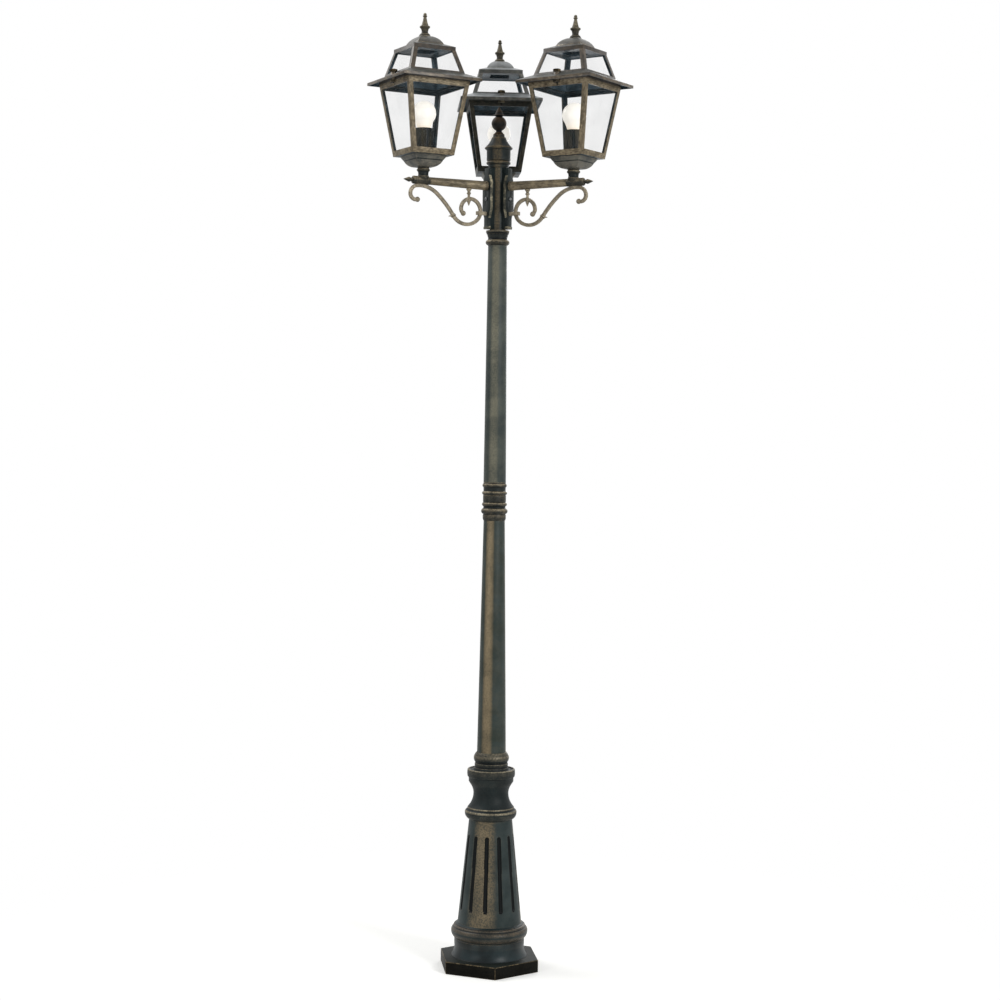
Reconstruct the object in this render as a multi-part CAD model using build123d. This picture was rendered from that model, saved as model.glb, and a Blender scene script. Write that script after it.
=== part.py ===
"""Triple head lamp post in cast aluminium: a fluted pedestal on a six-sided foot, a two-part
tapered pole, and a hub with three scrolled arms that each carry a four-sided glazed lantern.

Millimetres, +Z up. The origin is the centre of the ground bolt circle, at ground level, on the
post's axis. The back arm points along +Y and the other two stand 120 degrees either side.
"""
import os
from math import atan2, cos, degrees, hypot, pi, radians, sin, tan

from build123d import *

# ---------------------------------------------------------------- fits
slip = 0.2             # radial clearance of a casting that slides into another
screw_gap = 0.15       # radial clearance round rods, screws and nipples
pin_gap = 0.05         # radial running clearance of the hinge pins and thumb screws
seat_gap = 0.1         # glass to frame, and saddle to tube

# ---------------------------------------------------------------- foot and pedestal
plate_corner_r = 136.0     # six-sided plate, centre to corner
plate_h = 31.5
plate_wall = 8.0
plate_turn = 36.7          # direction of one corner, degrees from +X
drum_h = 43.5              # waisted drum above the plate
drum_foot_r = 97.0
drum_r = 89.5
drum_wall = 7.5
pedestal_h = 371.0
torus_r = 97.7
cone_base_r = 81.5
cone_top_r = 55.0
cone_base_z = 41.3         # heights inside the pedestal, from its lower edge
crown_h = 65.5             # rings and waist above the cone
cone_wall = 9.0
flute_count = 12
flute_r = 5.5
flute_depth = 4.0
flute_from = 82.0
flute_short = 43.0         # flutes end below the top of the cone
upper_torus_r = 66.0
waist_r = 44.7
waist_wall = 6.7
spigot_down = 8.0          # how far each casting reaches into the one below

# ---------------------------------------------------------------- cup and collar
cup_h = 106.0
cup_rim_r = 61.2
web_z = 16.0               # web that the lower pole stands on, from the cup's lower edge
web_t = 12.0
terminal_r = 24.0
terminal_h = 22.0

# ---------------------------------------------------------------- poles and coupling
lower_pole_len = 668.7
lower_pole_r = 38.1        # at its foot, inside the collar
lower_pole_top_r = 27.1
lower_pole_wall = 4.0
coupling_h = 97.3
coupling_r = 28.2
coupling_spigot = 30.0
upper_pole_len = 599.0
upper_pole_r = 28.5
upper_pole_top_r = 23.9
upper_pole_wall = 3.5

# ---------------------------------------------------------------- hub
socket_h = 38.0
socket_r = 29.6
socket_recess = 6.0
hub_r = 20.0
hub_wall = 3.0
hub_len = 169.0
bracket_h = 153.0
bracket_lift = 3.0         # foot of the brackets above the socket
bracket_depth = 14.0       # outer face, from the hub's wall
bracket_half = 20.0        # half width at mid height
bracket_end_half = 11.0    # half width at its two ends
bracket_web_half = 11.0
bracket_plate = 7.0
bracket_screw_drop = 33.0  # screw below the arm
bracket_screw_r = 2.5
cap_h = 82.0
cap_skirt = 4.0
bud_h = 24.6604            # bud, above the ball
finial_ball_r = 19.0
finial_neck_r = 7.7
finial_neck_h = 11.6
rod_r = 5.0                # tie rod

# ---------------------------------------------------------------- anchor plate
anchor_space = 11.77945     # between the anchor plate and the foot's wall
anchor_t = 8.0
anchor_bolts = 3
anchor_pcd = 150.0
anchor_hole_r = 5.5
cable_entry_r = 13.0
cable_entry_at = 40.0      # off the axis, clear of the tie rod
nut_af = 17.0

# ---------------------------------------------------------------- arms
arm_lift = 111.0           # arm axis above the top of the socket
arm_reach = 214.8          # post axis to lantern axis
arm_azimuths = {"left": 210.0, "right": 330.0, "back": 90.0}
arm_root_r = 11.9
arm_start_r = 11.4
arm_end_r = 9.4
arm_bore = 6.0
arm_spigot_r = 8.0
arm_spigot = 9.5
root_len = 10.0
tee_r = 10.0               # sleeve of the lantern stem round the arm's end
tee_back = 16.5            # sleeve's reach on the post side of the lantern axis
tee_front = 30.2           # and beyond it
tee_spigot_r = 7.8
spear_len = 24.7
spear_r = 6.2
spear_stud_r = 3.0
scroll_t = 7.4             # bar, in the plane of the arm
scroll_w = 9.0             # bar, across
scroll_start = (114.3, -73.3)   # inner end: back from the lantern axis, and from the arm axis
scroll_heading = 32.4
# (radius, turn) of each stretch of the bar, inner curl first; a minus turns the other way
scroll_turns = [(14.1, 63.4), (26.9, 105.1), (30.2, 113.6), (44.9, 101.0),
                (256.1, -15.5), (72.5, -49.3), (19.9, -83.1), (14.9, -106.4)]
scroll_ball_r = 6.6
hanger_back = 129.8        # hanger, back from the lantern axis
hanger_r = 6.8
hanger_h = 42.0
collar_drop = 70.0         # tab that ties the scroll to the bracket, below the arm axis

# ---------------------------------------------------------------- lanterns
facings = {"left": 208.5, "right": 236.5, "back": 273.5}   # direction of the thumb screw
stem_h = 32.0              # arm axis to the underside of the bowl
stem_r = 15.0
nipple_r = 6.0
nipple_bore = 4.0
nipple_up = 9.3            # nipple's reach above the cage's foot
bowl_h = 27.7
bowl_half = 43.4
bowl_wall = 3.2
cage_h = 179.4
cage_foot_half = 56.4      # half widths of the square cage, outside
cage_top_half = 83.8
cage_wall = 4.0
cage_leg = 11.0            # width of each face of a corner post
cage_floor = 3.4
foot_rail = 14.0
top_rail = 13.4
ledge_w = 12.8             # ledge under the roof, from the cage's top edge in
ledge_t = 6.0
pane_t = 3.0
holder_r = 20.0
holder_h = 50.0
cover_r = 24.0
cover_h = 64.5
cover_ribs = 28
bulb_r = 30.0
bulb_top = 135.8           # above the cage's foot
bulb_len = 107.0
bulb_cap_r = 13.2
bulb_cap_h = 25.5
bulb_neck_r = 15.0
bulb_glass = 1.0

# roof frame, heights above the joint with the cage
eave_out = 22.4            # eave beyond the cage's top edge
eave_lip_low = -1.0
eave_lip_top = 6.0
eave_t = 3.0
curb_w = 8.2               # curb, from the foot of the upper frame in
curb_h = 16.0
upper_in = 9.6             # foot of the upper frame inside the cage's top edge
upper_foot_z = 19.6
upper_top_half = 57.0
upper_top_z = 77.2
upper_wall = 3.6
slab_top_z = 85.5
slab_peak_z = 94.0
dome_half = 35.4
dome_h = 20.3
dome_wall = 3.0
vent_half = 25.0
roof_finial_h = 58.7
roof_stud_r = 3.0

# hinge and thumb screw of the roof
hinge_out = 5.2            # hinge axis outside the cage's top edge
knuckle_r = 4.0
hinge_pin_r = 1.5
centre_knuckle = 14.0      # lengths along the pin
side_knuckle = 14.0
knuckle_space = 0.3
thumb_space = 0.4          # thumb screw's head to the upper frame
ear_half = 8.0             # ear on the cage that the screw holds
thumb_r = 9.6
thumb_h = 6.3
thumb_shank_r = 2.0
thumb_boss_r = 6.5
thumb_boss_z = 20.0
thumb_hole_gap = 0.6       # wide enough for the shank to swing out with the roof

# ---------------------------------------------------------------- wiring
lead_r = 2.5
lead_at = 12.0             # leads in the pole, from the axis
lead_bend = 12.0

# ---------------------------------------------------------------- sizes that follow from the ones above
drum_bore = drum_r - drum_wall
cone_top_z = pedestal_h - crown_h
flute_to = cone_top_z - flute_short
waist_bore = waist_r - waist_wall
coupling_bore = lead_at + lead_r + 3
socket_bore = lead_at + lead_r + 2
bracket_face = hub_r + bracket_depth
finial_ball_z = finial_neck_h + (finial_ball_r ** 2 - finial_neck_r ** 2) ** 0.5
finial_h = 2 * finial_ball_z - finial_neck_h + bud_h
anchor_r = plate_corner_r * cos(radians(30)) - plate_wall - anchor_space
nipple_len = bowl_h + nipple_up
ledge_half = cage_top_half - ledge_w
eave_half = cage_top_half + eave_out
upper_foot_half = cage_top_half - upper_in
curb_half = upper_foot_half - curb_w
screw_at = upper_foot_half + thumb_r + thumb_space

# ---------------------------------------------------------------- levels on the post
pedestal_z = plate_h + drum_h
cup_z = pedestal_z + pedestal_h
pole_z = cup_z + web_z + web_t
coupling_z = pole_z + lower_pole_len
upper_pole_z = coupling_z + coupling_h
socket_z = upper_pole_z + upper_pole_len
hub_z = socket_z + socket_h - socket_recess
socket_top = socket_z + socket_h
cap_z = hub_z + hub_len - cap_skirt
finial_z = cap_z + cap_h
arm_z = socket_top + arm_lift
bowl_z = arm_z + stem_h
cage_z = bowl_z + bowl_h
joint_z = cage_z + cage_h
hinge_x = -(cage_top_half + hinge_out)


# ---------------------------------------------------------------- shapes
def bowed(start, end, bow):
    """A straight edge, or an arc that swells by bow to the right of travel, in the XZ plane."""
    a, b = Vector(start[0], 0, start[1]), Vector(end[0], 0, end[1])
    if not bow:
        return Line(a, b)
    along = b - a
    side = Vector(along.Z, 0, -along.X).normalized()
    return ThreePointArc(a, (a + b) * 0.5 + side * bow, b)


def outline_edges(points):
    """Closed outline through (x, z) points; a third number is the bow of the stretch to it."""
    edges = []
    for start, end in zip(points, points[1:] + points[:1]):
        edges.append(bowed(start, end, end[2] if len(end) > 2 else 0))
    return edges


def turned(*points):
    """A body of revolution about Z from its (radius, height) outline."""
    return revolve(make_face(outline_edges(list(points))), axis=Axis.Z)


def dome(r, z, rise):
    """Last point of an outline that closes over the axis as part of a ball."""
    ball_r = (r * r + rise * rise) / (2 * rise)
    return 0, z + rise, ball_r - (ball_r ** 2 - (r * r + rise * rise) / 4) ** 0.5


def bead(r, z, width, height):
    """Two outline points of a half-round bead that stands height proud of radius r."""
    return (r, z - width / 2), (r, z + width / 2, height)


def block(half, z_low, z_high):
    """A square block about Z."""
    return Pos(0, 0, (z_low + z_high) / 2) * Box(2 * half, 2 * half, z_high - z_low)


def spire(half_low, z_low, half_high, z_high):
    """A square frustum about Z."""
    low = Pos(0, 0, z_low) * Rectangle(2 * half_low, 2 * half_low)
    high = Pos(0, 0, z_high) * Rectangle(2 * half_high, 2 * half_high)
    return loft([low, high], ruled=True)


def four_sided(reach, *points):
    """A four-sided vault: the mirrored (x, z) outline run both ways, and what they share."""
    edges = [Line((-points[0][0], 0, points[0][1]), (points[0][0], 0, points[0][1]))]
    for start, end in zip(points, points[1:]):
        bow = end[2] if len(end) > 2 else 0
        edge = bowed(start, end, bow)
        edges.append(edge)
        edges.append(edge.mirror(Plane.YZ))
    edges.append(Line((-points[-1][0], 0, points[-1][1]), (points[-1][0], 0, points[-1][1])))
    run = extrude(make_face(edges), amount=reach, both=True)
    return run & (Rot(0, 0, 90) * run)


def rod(r, start, end):
    """A round bar between two points."""
    path = Vector(*end) - Vector(*start)
    return Plane(origin=start, z_dir=path) * Cylinder(r, path.length, align=(Align.CENTER, Align.CENTER, Align.MIN))


def windows(half_at, z_low, z_high, leg):
    """Cutters for the four windows of a square cage, leg wide of each corner."""
    low, high = half_at(z_low) - leg, half_at(z_high) - leg
    face = make_face(Polyline((-low, 0, z_low), (low, 0, z_low), (high, 0, z_high), (-high, 0, z_high), close=True))
    through = extrude(face, amount=2 * half_at(z_low) + 2 * half_at(z_high), both=True)
    return through + Rot(0, 0, 90) * through


def panes(half_at, wall, z_low, z_high):
    """Four sheets of glass behind the faces of a square cage."""
    def outer(z):
        return half_at(z) - wall - seat_gap

    def inner(z):
        return outer(z) - pane_t

    section = make_face(Polyline((outer(z_low), 0, z_low), (outer(z_high), 0, z_high),
                                 (inner(z_high), 0, z_high), (inner(z_low), 0, z_low), close=True))
    sheet = extrude(section, amount=2 * half_at(z_low) + 2 * half_at(z_high), both=True)
    low, high = inner(z_low) - 0.5, inner(z_high) - 0.5
    shape = make_face(Polyline((0, -low, z_low), (0, low, z_low), (0, high, z_high), (0, -high, z_high), close=True))
    pane = sheet & extrude(shape, amount=2 * half_at(z_high) + 2 * half_at(z_low), dir=(1, 0, 0))
    return [Rot(0, 0, 90 * side) * pane for side in range(4)]


# ---------------------------------------------------------------- post
def hex_foot():
    plate = extrude(RegularPolygon(plate_corner_r, 6, rotation=plate_turn), plate_h)
    plate = chamfer(plate.edges().group_by(Axis.Z)[-1], 1.2)
    inner_z = plate_h - plate_wall + 2
    drum = turned((drum_bore, inner_z), (drum_foot_r, inner_z), (drum_foot_r, plate_h),
                  (drum_r, plate_h + 0.7 * drum_h, -3.2), (drum_r, pedestal_z), (drum_bore, pedestal_z))
    cavity_corner = plate_corner_r - plate_wall / cos(radians(30))
    cavity = extrude(RegularPolygon(cavity_corner, 6, rotation=plate_turn), inner_z)
    bore = Pos(0, 0, pedestal_z / 2) * Cylinder(drum_bore, pedestal_z + 2)
    return plate + drum - cavity - bore


def cone_r(z):
    """Outer radius of the fluted cone at a height in the pedestal."""
    return cone_base_r + (cone_top_r - cone_base_r) * (z - cone_base_z) / (cone_top_z - cone_base_z)


def fluted_pedestal():
    low, high, crown = torus_r, upper_torus_r, cone_top_z
    body = turned(
        (drum_bore - slip, -spigot_down), (drum_bore - slip, 0), (drum_r - 0.2, 0), (drum_r - 0.2, 3),
        (low, 19.5, 2.4), (low - 4.7, 30, 1.6), (low - 6.1, 31), (low - 6.1, 32.2), (low - 9.1, 36.6, 1.0),
        (low - 10.7, 36.8), (low - 10.7, 38), (cone_base_r + 1.8, cone_base_z - 1.5),
        (cone_base_r, cone_base_z), (cone_top_r, crown), (cone_top_r + 1, crown + 0.5),
        (high, crown + 17, 3.0), (high - 3, crown + 24, 1.2), (high - 6.4, crown + 27.5), (high - 6.4, crown + 30),
        (high - 7.4, crown + 31.5), (waist_r, pedestal_h, -3.4), (waist_bore, pedestal_h),
        (waist_bore, cone_top_z + 40), (cone_top_r - cone_wall, cone_top_z),
        (cone_base_r - cone_wall, cone_base_z), (cone_base_r - cone_wall, -spigot_down))
    off = flute_r - flute_depth
    low = (cone_r(flute_from) + off, 0, flute_from)
    high = (cone_r(flute_to) + off, 0, flute_to)
    flute = rod(flute_r, low, high) + Pos(*low) * Sphere(flute_r) + Pos(*high) * Sphere(flute_r)
    for index in range(flute_count):
        body -= Rot(0, 0, plate_turn + 360 / flute_count * (index + 0.5)) * flute
    return Pos(0, 0, pedestal_z) * body


def lower_pole_outer(z):
    """Outer radius of the lower pole, z above its foot."""
    return lower_pole_r + (lower_pole_top_r - lower_pole_r) * z / lower_pole_len


def cup_collar():
    rim, r = cup_rim_r, lower_pole_r
    web_top = web_z + web_t
    bore_r = lower_pole_outer(0) + slip
    bore_top_r = lower_pole_outer(cup_h - web_top) + slip
    body = turned(
        (waist_bore - slip, -12), (waist_bore - slip, 0), (waist_r, 0), (rim - 10.7, 21, -1.6),
        (rim - 4.2, 31.3), (rim - 3.9, 41.5), (rim - 1, 44), (rim, 51), (rim - 0.6, 61), (rim - 2.2, 63),
        (rim - 5, 63), (rim - 6, 60.5), (r + 6.9, 60.5), (r + 5.5, 66), (r + 4.3, 71, -0.4),
        (r + 4.3, 77), (r + 2.9, 78.5), (r + 2.9, 81), (r + 4.9, 82.5), *bead(r + 5.1, 91, 14, 1.8),
        (r + 3.5, 101), (bore_top_r + 1.2, cup_h), (bore_top_r, cup_h), (bore_r, web_top),
        (rod_r + screw_gap, web_top), (rod_r + screw_gap, web_z), (waist_bore - 6, web_z),
        (waist_bore - 6, -12))
    for azimuth in arm_azimuths.values():
        way = Rot(0, 0, azimuth) * Pos(lead_at, 0, web_z + web_t / 2) * Cylinder(lead_r + 1.2, web_t + 2)
        body -= way
    return Pos(0, 0, cup_z) * body


def terminal_block():
    body = Cylinder(terminal_r, terminal_h) - Cylinder(rod_r + 1.5, terminal_h + 2)
    for azimuth in arm_azimuths.values():
        body -= Rot(0, 0, azimuth + 60) * Pos(terminal_r - 5, 0, terminal_h / 2) * Cylinder(2.5, 8)
    return Pos(0, 0, cup_z + web_z - terminal_h / 2) * body


def lower_pole():
    top_in, foot_in = lower_pole_top_r - lower_pole_wall, lower_pole_r - lower_pole_wall
    return Pos(0, 0, pole_z) * turned((foot_in, 0), (lower_pole_r, 0), (lower_pole_top_r, lower_pole_len),
                                      (top_in, lower_pole_len))


def upper_pole_inner(z):
    """Bore radius of the upper pole, z above its foot."""
    return upper_pole_r - upper_pole_wall + (upper_pole_top_r - upper_pole_r) * z / upper_pole_len


def mid_coupling():
    low_r = lower_pole_top_r - lower_pole_wall - slip
    high_r = upper_pole_inner(coupling_spigot) - slip
    r = coupling_r
    body = turned(
        (low_r, -coupling_spigot), (low_r, 0), (lower_pole_top_r + 0.5, 0), (r + 1.3, 5), (r + 1.3, 14),
        *bead(r, 24.2, 15, 5.6), *bead(r, 41.5, 10, 3.6), (r + 1.1, 48), (r + 1.1, 64),
        *bead(r, 70, 10, 3.6), *bead(r + 0.2, 89.5, 10, 2.6), (upper_pole_r, coupling_h),
        (high_r, coupling_h),
        (high_r, coupling_h + coupling_spigot), (coupling_bore, coupling_h + coupling_spigot),
        (coupling_bore, -coupling_spigot))
    return Pos(0, 0, coupling_z) * body


def upper_pole():
    return Pos(0, 0, upper_pole_z) * turned(
        (upper_pole_inner(0), 0), (upper_pole_r, 0), (upper_pole_top_r, upper_pole_len),
        (upper_pole_inner(upper_pole_len), upper_pole_len))


def hub_socket():
    spigot_r = upper_pole_inner(upper_pole_len) - slip
    floor = socket_h - socket_recess
    body = turned(
        (spigot_r, -coupling_spigot), (spigot_r, 0), (upper_pole_top_r + 0.3, 0),
        *bead(upper_pole_top_r + 1.2, 8.2, 13, 5.2), (upper_pole_top_r + 0.4, 17), (upper_pole_top_r + 0.4, 20),
        (socket_r - 3.6, 25), (socket_r - 3.2, 28), (socket_r - 2, 28.6), (socket_r, 33, -0.4),
        (socket_r, socket_h), (hub_r + slip, socket_h),
        (hub_r + slip, floor), (socket_bore, floor), (socket_bore, -coupling_spigot))
    return Pos(0, 0, socket_z) * body


def hub_tube():
    body = Pos(0, 0, hub_len / 2) * (Cylinder(hub_r, hub_len) - Cylinder(hub_r - hub_wall, hub_len + 2))
    lead_way = rod(arm_spigot_r, (0, 0, arm_z - hub_z), (2 * hub_r, 0, arm_z - hub_z))
    drop = arm_z - hub_z - bracket_screw_drop
    screw_way = rod(bracket_screw_r + screw_gap, (0, 0, drop), (2 * hub_r, 0, drop))
    for azimuth in arm_azimuths.values():
        body -= Rot(0, 0, azimuth) * (lead_way + screw_way)
    return Pos(0, 0, hub_z) * body


def bracket():
    """Backplate on the hub, wide in the middle and waisted to its ends, with its web."""
    foot, top = bracket_lift, bracket_lift + bracket_h
    narrow, wide = bracket_end_half, bracket_half
    low_turn, low_full = foot + 0.18 * bracket_h, foot + 0.32 * bracket_h
    high_full, high_turn = top - 0.24 * bracket_h, top - 0.12 * bracket_h
    side = [(narrow + 1.5, foot), (narrow, foot + 6, -0.6), (narrow, low_turn), (wide, low_full),
            (wide, high_full), (narrow, high_turn), (narrow, top)]
    edges = [Line((0, -side[0][0], side[0][1]), (0, side[0][0], side[0][1])),
             Line((0, -side[-1][0], side[-1][1]), (0, side[-1][0], side[-1][1]))]
    for start, end in zip(side, side[1:]):
        for way in (1, -1):
            edges.append(Line((0, way * start[0], start[1]), (0, way * end[0], end[1])))
    plate = Pos(bracket_face, 0, 0) * extrude(make_face(edges), amount=-bracket_plate, dir=(1, 0, 0))
    web = Pos(bracket_face / 2, 0, (foot + top) / 2) * Box(bracket_face, 2 * bracket_web_half, bracket_h)
    lip = Pos(bracket_face, 0, foot + 3) * Box(3, 2 * narrow, 6)
    body = plate + web + lip - Pos(0, 0, (foot + top) / 2) * Cylinder(hub_r + seat_gap, bracket_h + 2)
    body -= rod(arm_spigot_r + slip, (0, 0, arm_lift), (2 * bracket_face, 0, arm_lift))
    drop = arm_lift - bracket_screw_drop
    body -= rod(bracket_screw_r + screw_gap, (0, 0, drop), (2 * bracket_face, 0, drop))
    front = body.solids().sort_by(Axis.X)[-1]
    return Pos(0, 0, socket_top) * front


def bracket_screw():
    drop = arm_z - bracket_screw_drop
    head = turned((0, 0), (4.6, 0), (4.6, 2.2), dome(4.6, 2.2, 2.0))
    slot = Pos(0, 0, 4) * Box(12, 1.2, 2.4)
    head = Pos(bracket_face, 0, drop) * Rot(0, 90, 0) * (head - slot)
    shank = rod(bracket_screw_r, (hub_r - hub_wall - 1.5, 0, drop), (bracket_face, 0, drop))
    return head + shank


def hub_cap():
    r, bore, top = hub_r, hub_r + slip, cap_h
    body = turned(
        (bore, 0), (r + 5.2, 0), (r + 6, 5), (r + 7, 6.5), *bead(r + 7.5, 11.3, 8, 3.4), (r + 8.6, 16.5),
        (r + 10.2, 18.5), (r + 10.2, 43), (r + 11.2, 44.5), (r + 15.4, 47.6), (r + 15.4, 49), (r + 14.6, 50.4),
        (18.2, top - 8, -1.8), (17.4, top - 6), (14.6, top - 4, -0.3), (14.4, top), (rod_r + 0.3, top),
        (rod_r + 0.3, top - 8), (9, top - 12), (r + 1, top - 28), (r + 5.5, top - 40),
        (r + 5.5, 14), (hub_r - hub_wall, 10), (hub_r - hub_wall, cap_skirt), (bore, cap_skirt))
    return Pos(0, 0, cap_z) * body


def hub_finial():
    neck_r = finial_neck_r
    top_z = 2 * finial_ball_z - finial_neck_h
    tip_bore = rod_r + screw_gap
    body = turned(
        (tip_bore, 0), (14.4, 0), (14.0, 2), (9.4, 6.5), (neck_r, finial_neck_h, -0.8),
        (neck_r, top_z, finial_ball_r - neck_r), (13.6, top_z + 3.0), (12.8, top_z + 4.6),
        (9.4, top_z + 10, -0.5), (6.6, top_z + 15.4), (1.2, finial_h - 1.2),
        dome(1.2, finial_h - 1.2, 1.2), (0, 13), (tip_bore, 13))
    return Pos(0, 0, finial_z) * body


# ---------------------------------------------------------------- ground fixing
def anchor_plate():
    body = Pos(0, 0, anchor_t / 2) * Cylinder(anchor_r, anchor_t)
    body -= Pos(0, 0, anchor_t / 2) * Cylinder(rod_r + screw_gap, anchor_t + 2)
    for index in range(anchor_bolts):
        spot = Rot(0, 0, 90 + 360 / anchor_bolts * index) * Pos(anchor_pcd / 2, 0, anchor_t / 2)
        body -= spot * Cylinder(anchor_hole_r, anchor_t + 2)
    body -= Pos(0, -cable_entry_at, anchor_t / 2) * Cylinder(cable_entry_r, anchor_t + 2)
    return body


def tie_rod():
    return rod(rod_r, (0, 0, 1), (0, 0, finial_z + 12))


def rod_nut():
    """Lock nut and washer on the anchor plate."""
    hole = Cylinder(rod_r + screw_gap, 60)
    washer = Pos(0, 0, anchor_t + 1) * (Cylinder(11, 2) - hole)
    nut = extrude(RegularPolygon(nut_af / 2, 6, major_radius=False), 8) - hole
    return [washer, Pos(0, 0, anchor_t + 2) * nut]


# ---------------------------------------------------------------- arms, along +X from the post's axis
tee_start = arm_reach - tee_back
tee_end = arm_reach + tee_front
bore_end = tee_end - 6.5


def along_x(body):
    """Lays a body turned about Z along +X at arm height."""
    return Pos(0, 0, arm_z) * Rot(0, 90, 0) * body


def arm_tube():
    root, full = bracket_face, bracket_face + root_len
    groove = [(arm_root_r, root)]
    for step in (2.4, 5.4):
        groove.append((arm_root_r, root + step))
        groove.append((arm_root_r - 0.8, root + step + 0.7))
        groove.append((arm_root_r, root + step + 1.4))
    body = turned(
        (arm_bore, root - arm_spigot), (arm_spigot_r, root - arm_spigot), (arm_spigot_r, root), *groove,
        (arm_root_r, full - 1.5), (arm_start_r, full), (arm_end_r, tee_start), (tee_spigot_r, tee_start),
        (tee_spigot_r, bore_end - 0.5), (arm_bore, bore_end - 0.5))
    way_up = rod(nipple_bore + 1.5, (arm_reach, 0, arm_z), (arm_reach, 0, arm_z + 2 * tee_r))
    return along_x(body) - way_up


def stem():
    """Turned neck of a lantern with the sleeve that holds it on the arm."""
    sleeve = along_x(turned(
        (tee_spigot_r + slip, tee_start), (tee_r, tee_start), (tee_r, tee_end - 3), (tee_r - 3, tee_end, 0.9),
        (spear_stud_r + screw_gap, tee_end), (spear_stud_r + screw_gap, bore_end),
        (tee_spigot_r + slip, bore_end)))
    top = stem_h
    neck = turned(
        (0, 2), (stem_r - 2.6, 2), (stem_r - 0.8, 8), (stem_r - 0.8, 9.5), (stem_r - 2, top - 14.5, -0.7),
        (stem_r - 1.4, top - 11), *bead(stem_r - 0.8, top - 6.4, 7.4, 2.3), (stem_r - 1, top - 2),
        (stem_r, top - 1), (stem_r, top), (nipple_r, top),
        (nipple_r, top + nipple_len), (0, top + nipple_len))
    neck = Pos(arm_reach, 0, arm_z) * neck
    body = sleeve + neck - along_x(Pos(0, 0, bore_end / 2) * Cylinder(tee_spigot_r + slip, bore_end))
    return body - rod(nipple_bore, (arm_reach, 0, arm_z), (arm_reach, 0, bowl_z + nipple_len + 1))


def spear():
    return along_x(turned(
        (0, bore_end + 0.5), (spear_stud_r, bore_end + 0.5), (spear_stud_r, tee_end), (4.6, tee_end),
        (4.2, tee_end + 1.2), (3.0, tee_end + 2.2), (spear_r - 1.1, tee_end + 5.4), (spear_r, tee_end + 9.4),
        (spear_r - 1.0, tee_end + 13), (0.9, tee_end + spear_len - 0.9), dome(0.9, tee_end + spear_len - 0.9, 0.9)))


def scroll_centre():
    """Points and headings along the bar, and each stretch's edge."""
    x, z, heading = arm_reach - scroll_start[0], scroll_start[1], radians(scroll_heading)
    stops, edges = [(x, z, heading)], []
    for r, turn in scroll_turns:
        way = 1 if turn > 0 else -1
        cx, cz = x - way * r * sin(heading), z + way * r * cos(heading)
        mid, end = heading + radians(turn) / 2, heading + radians(turn)
        half = (cx + way * r * sin(mid), cz - way * r * cos(mid))
        x, z, heading = cx + way * r * sin(end), cz - way * r * cos(end), end
        edges.append((r, way, (cx, cz), half, (x, z)))
        stops.append((x, z, heading))
    return stops, edges


def scroll_bar():
    """The bar as rings' sectors, each side of its centre line, joined end to end."""
    stops, edges = scroll_centre()
    half = scroll_t / 2
    body = None
    for (x0, z0, h0), (x1, z1, h1), (r, way, centre, mid, end) in zip(stops, stops[1:], edges):
        lines = []
        ends = []
        for side in (half, -half):
            start = (x0 - side * sin(h0), z0 + side * cos(h0))
            stop = (x1 - side * sin(h1), z1 + side * cos(h1))
            reach = (r - way * side) / r
            middle = (centre[0] + (mid[0] - centre[0]) * reach, centre[1] + (mid[1] - centre[1]) * reach)
            lines.append(ThreePointArc((start[0], 0, start[1]), (middle[0], 0, middle[1]), (stop[0], 0, stop[1])))
            ends.append((start, stop))
        for near, far in zip(*ends):
            lines.append(Line((near[0], 0, near[1]), (far[0], 0, far[1])))
        piece = extrude(make_face(lines), amount=scroll_w / 2, both=True)
        body = piece if body is None else body + piece
    return body, stops


def scroll():
    """Scroll under an arm, with ball ends, knot and thorn, hanger and tab."""
    bar, stops = scroll_bar()
    body = bar
    for x, z, heading in (stops[0], stops[-1]):
        body += Pos(x, 0, z) * Sphere(scroll_ball_r)
    knot_x, knot_z, knot_h = stops[4]
    knot = Pos(knot_x, 0, knot_z) * Rot(0, -degrees(knot_h), 0) * Rot(0, 90, 0)
    body += knot * turned((0, -3.4), (5.2, -3.4), (6.4, 0, 0.9), (5.2, 3.4, 0.9), (0, 3.4))
    thorn = turned((0, 0), (3.2, 0), (2.4, 7), (0.7, 13.3), dome(0.7, 13.3, 0.7))
    body += Pos(knot_x, 0, knot_z) * Rot(0, 100, 0) * thorn
    under = -arm_start_r + 0.4
    body += Pos(arm_reach - hanger_back, 0, 0) * turned(
        (0, under - hanger_h), (1.0, under - hanger_h), (6.4, under - 27), (4.2, under - 22), (3.2, under - 18),
        *bead(3.6, under - 11.5, 5, 2.0), (hanger_r, under - 2.4, -0.9), (hanger_r, under), (0, under))
    tab_from, tab_to = bracket_face, min(x for x, z, heading in stops) + 2
    body += Pos((tab_from + tab_to) / 2, 0, -collar_drop) * Box(tab_to - tab_from, scroll_w, 9)
    body = Pos(0, 0, arm_z) * body
    reach = bracket_face + 2 * arm_reach
    clear = turned((0, bracket_face - 20), (arm_root_r + seat_gap, bracket_face - 20),
                   (arm_root_r + seat_gap, bracket_face + root_len), (arm_start_r + seat_gap, bracket_face + root_len),
                   (arm_end_r + seat_gap, tee_start), (tee_r + seat_gap, tee_start), (tee_r + seat_gap, reach), (0, reach))
    return body - along_x(clear)


def lead():
    """Lead from a lampholder down its stem, along the arm and down the pole."""
    top = bowl_z + nipple_len + 3
    path = FilletPolyline((arm_reach, 0, top), (arm_reach, 0, arm_z), (lead_at, 0, arm_z),
                          (lead_at, 0, cup_z + web_z), radius=lead_bend)
    return sweep(Plane(origin=(arm_reach, 0, top), z_dir=(0, 0, -1)) * Circle(lead_r), path=path)


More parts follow.
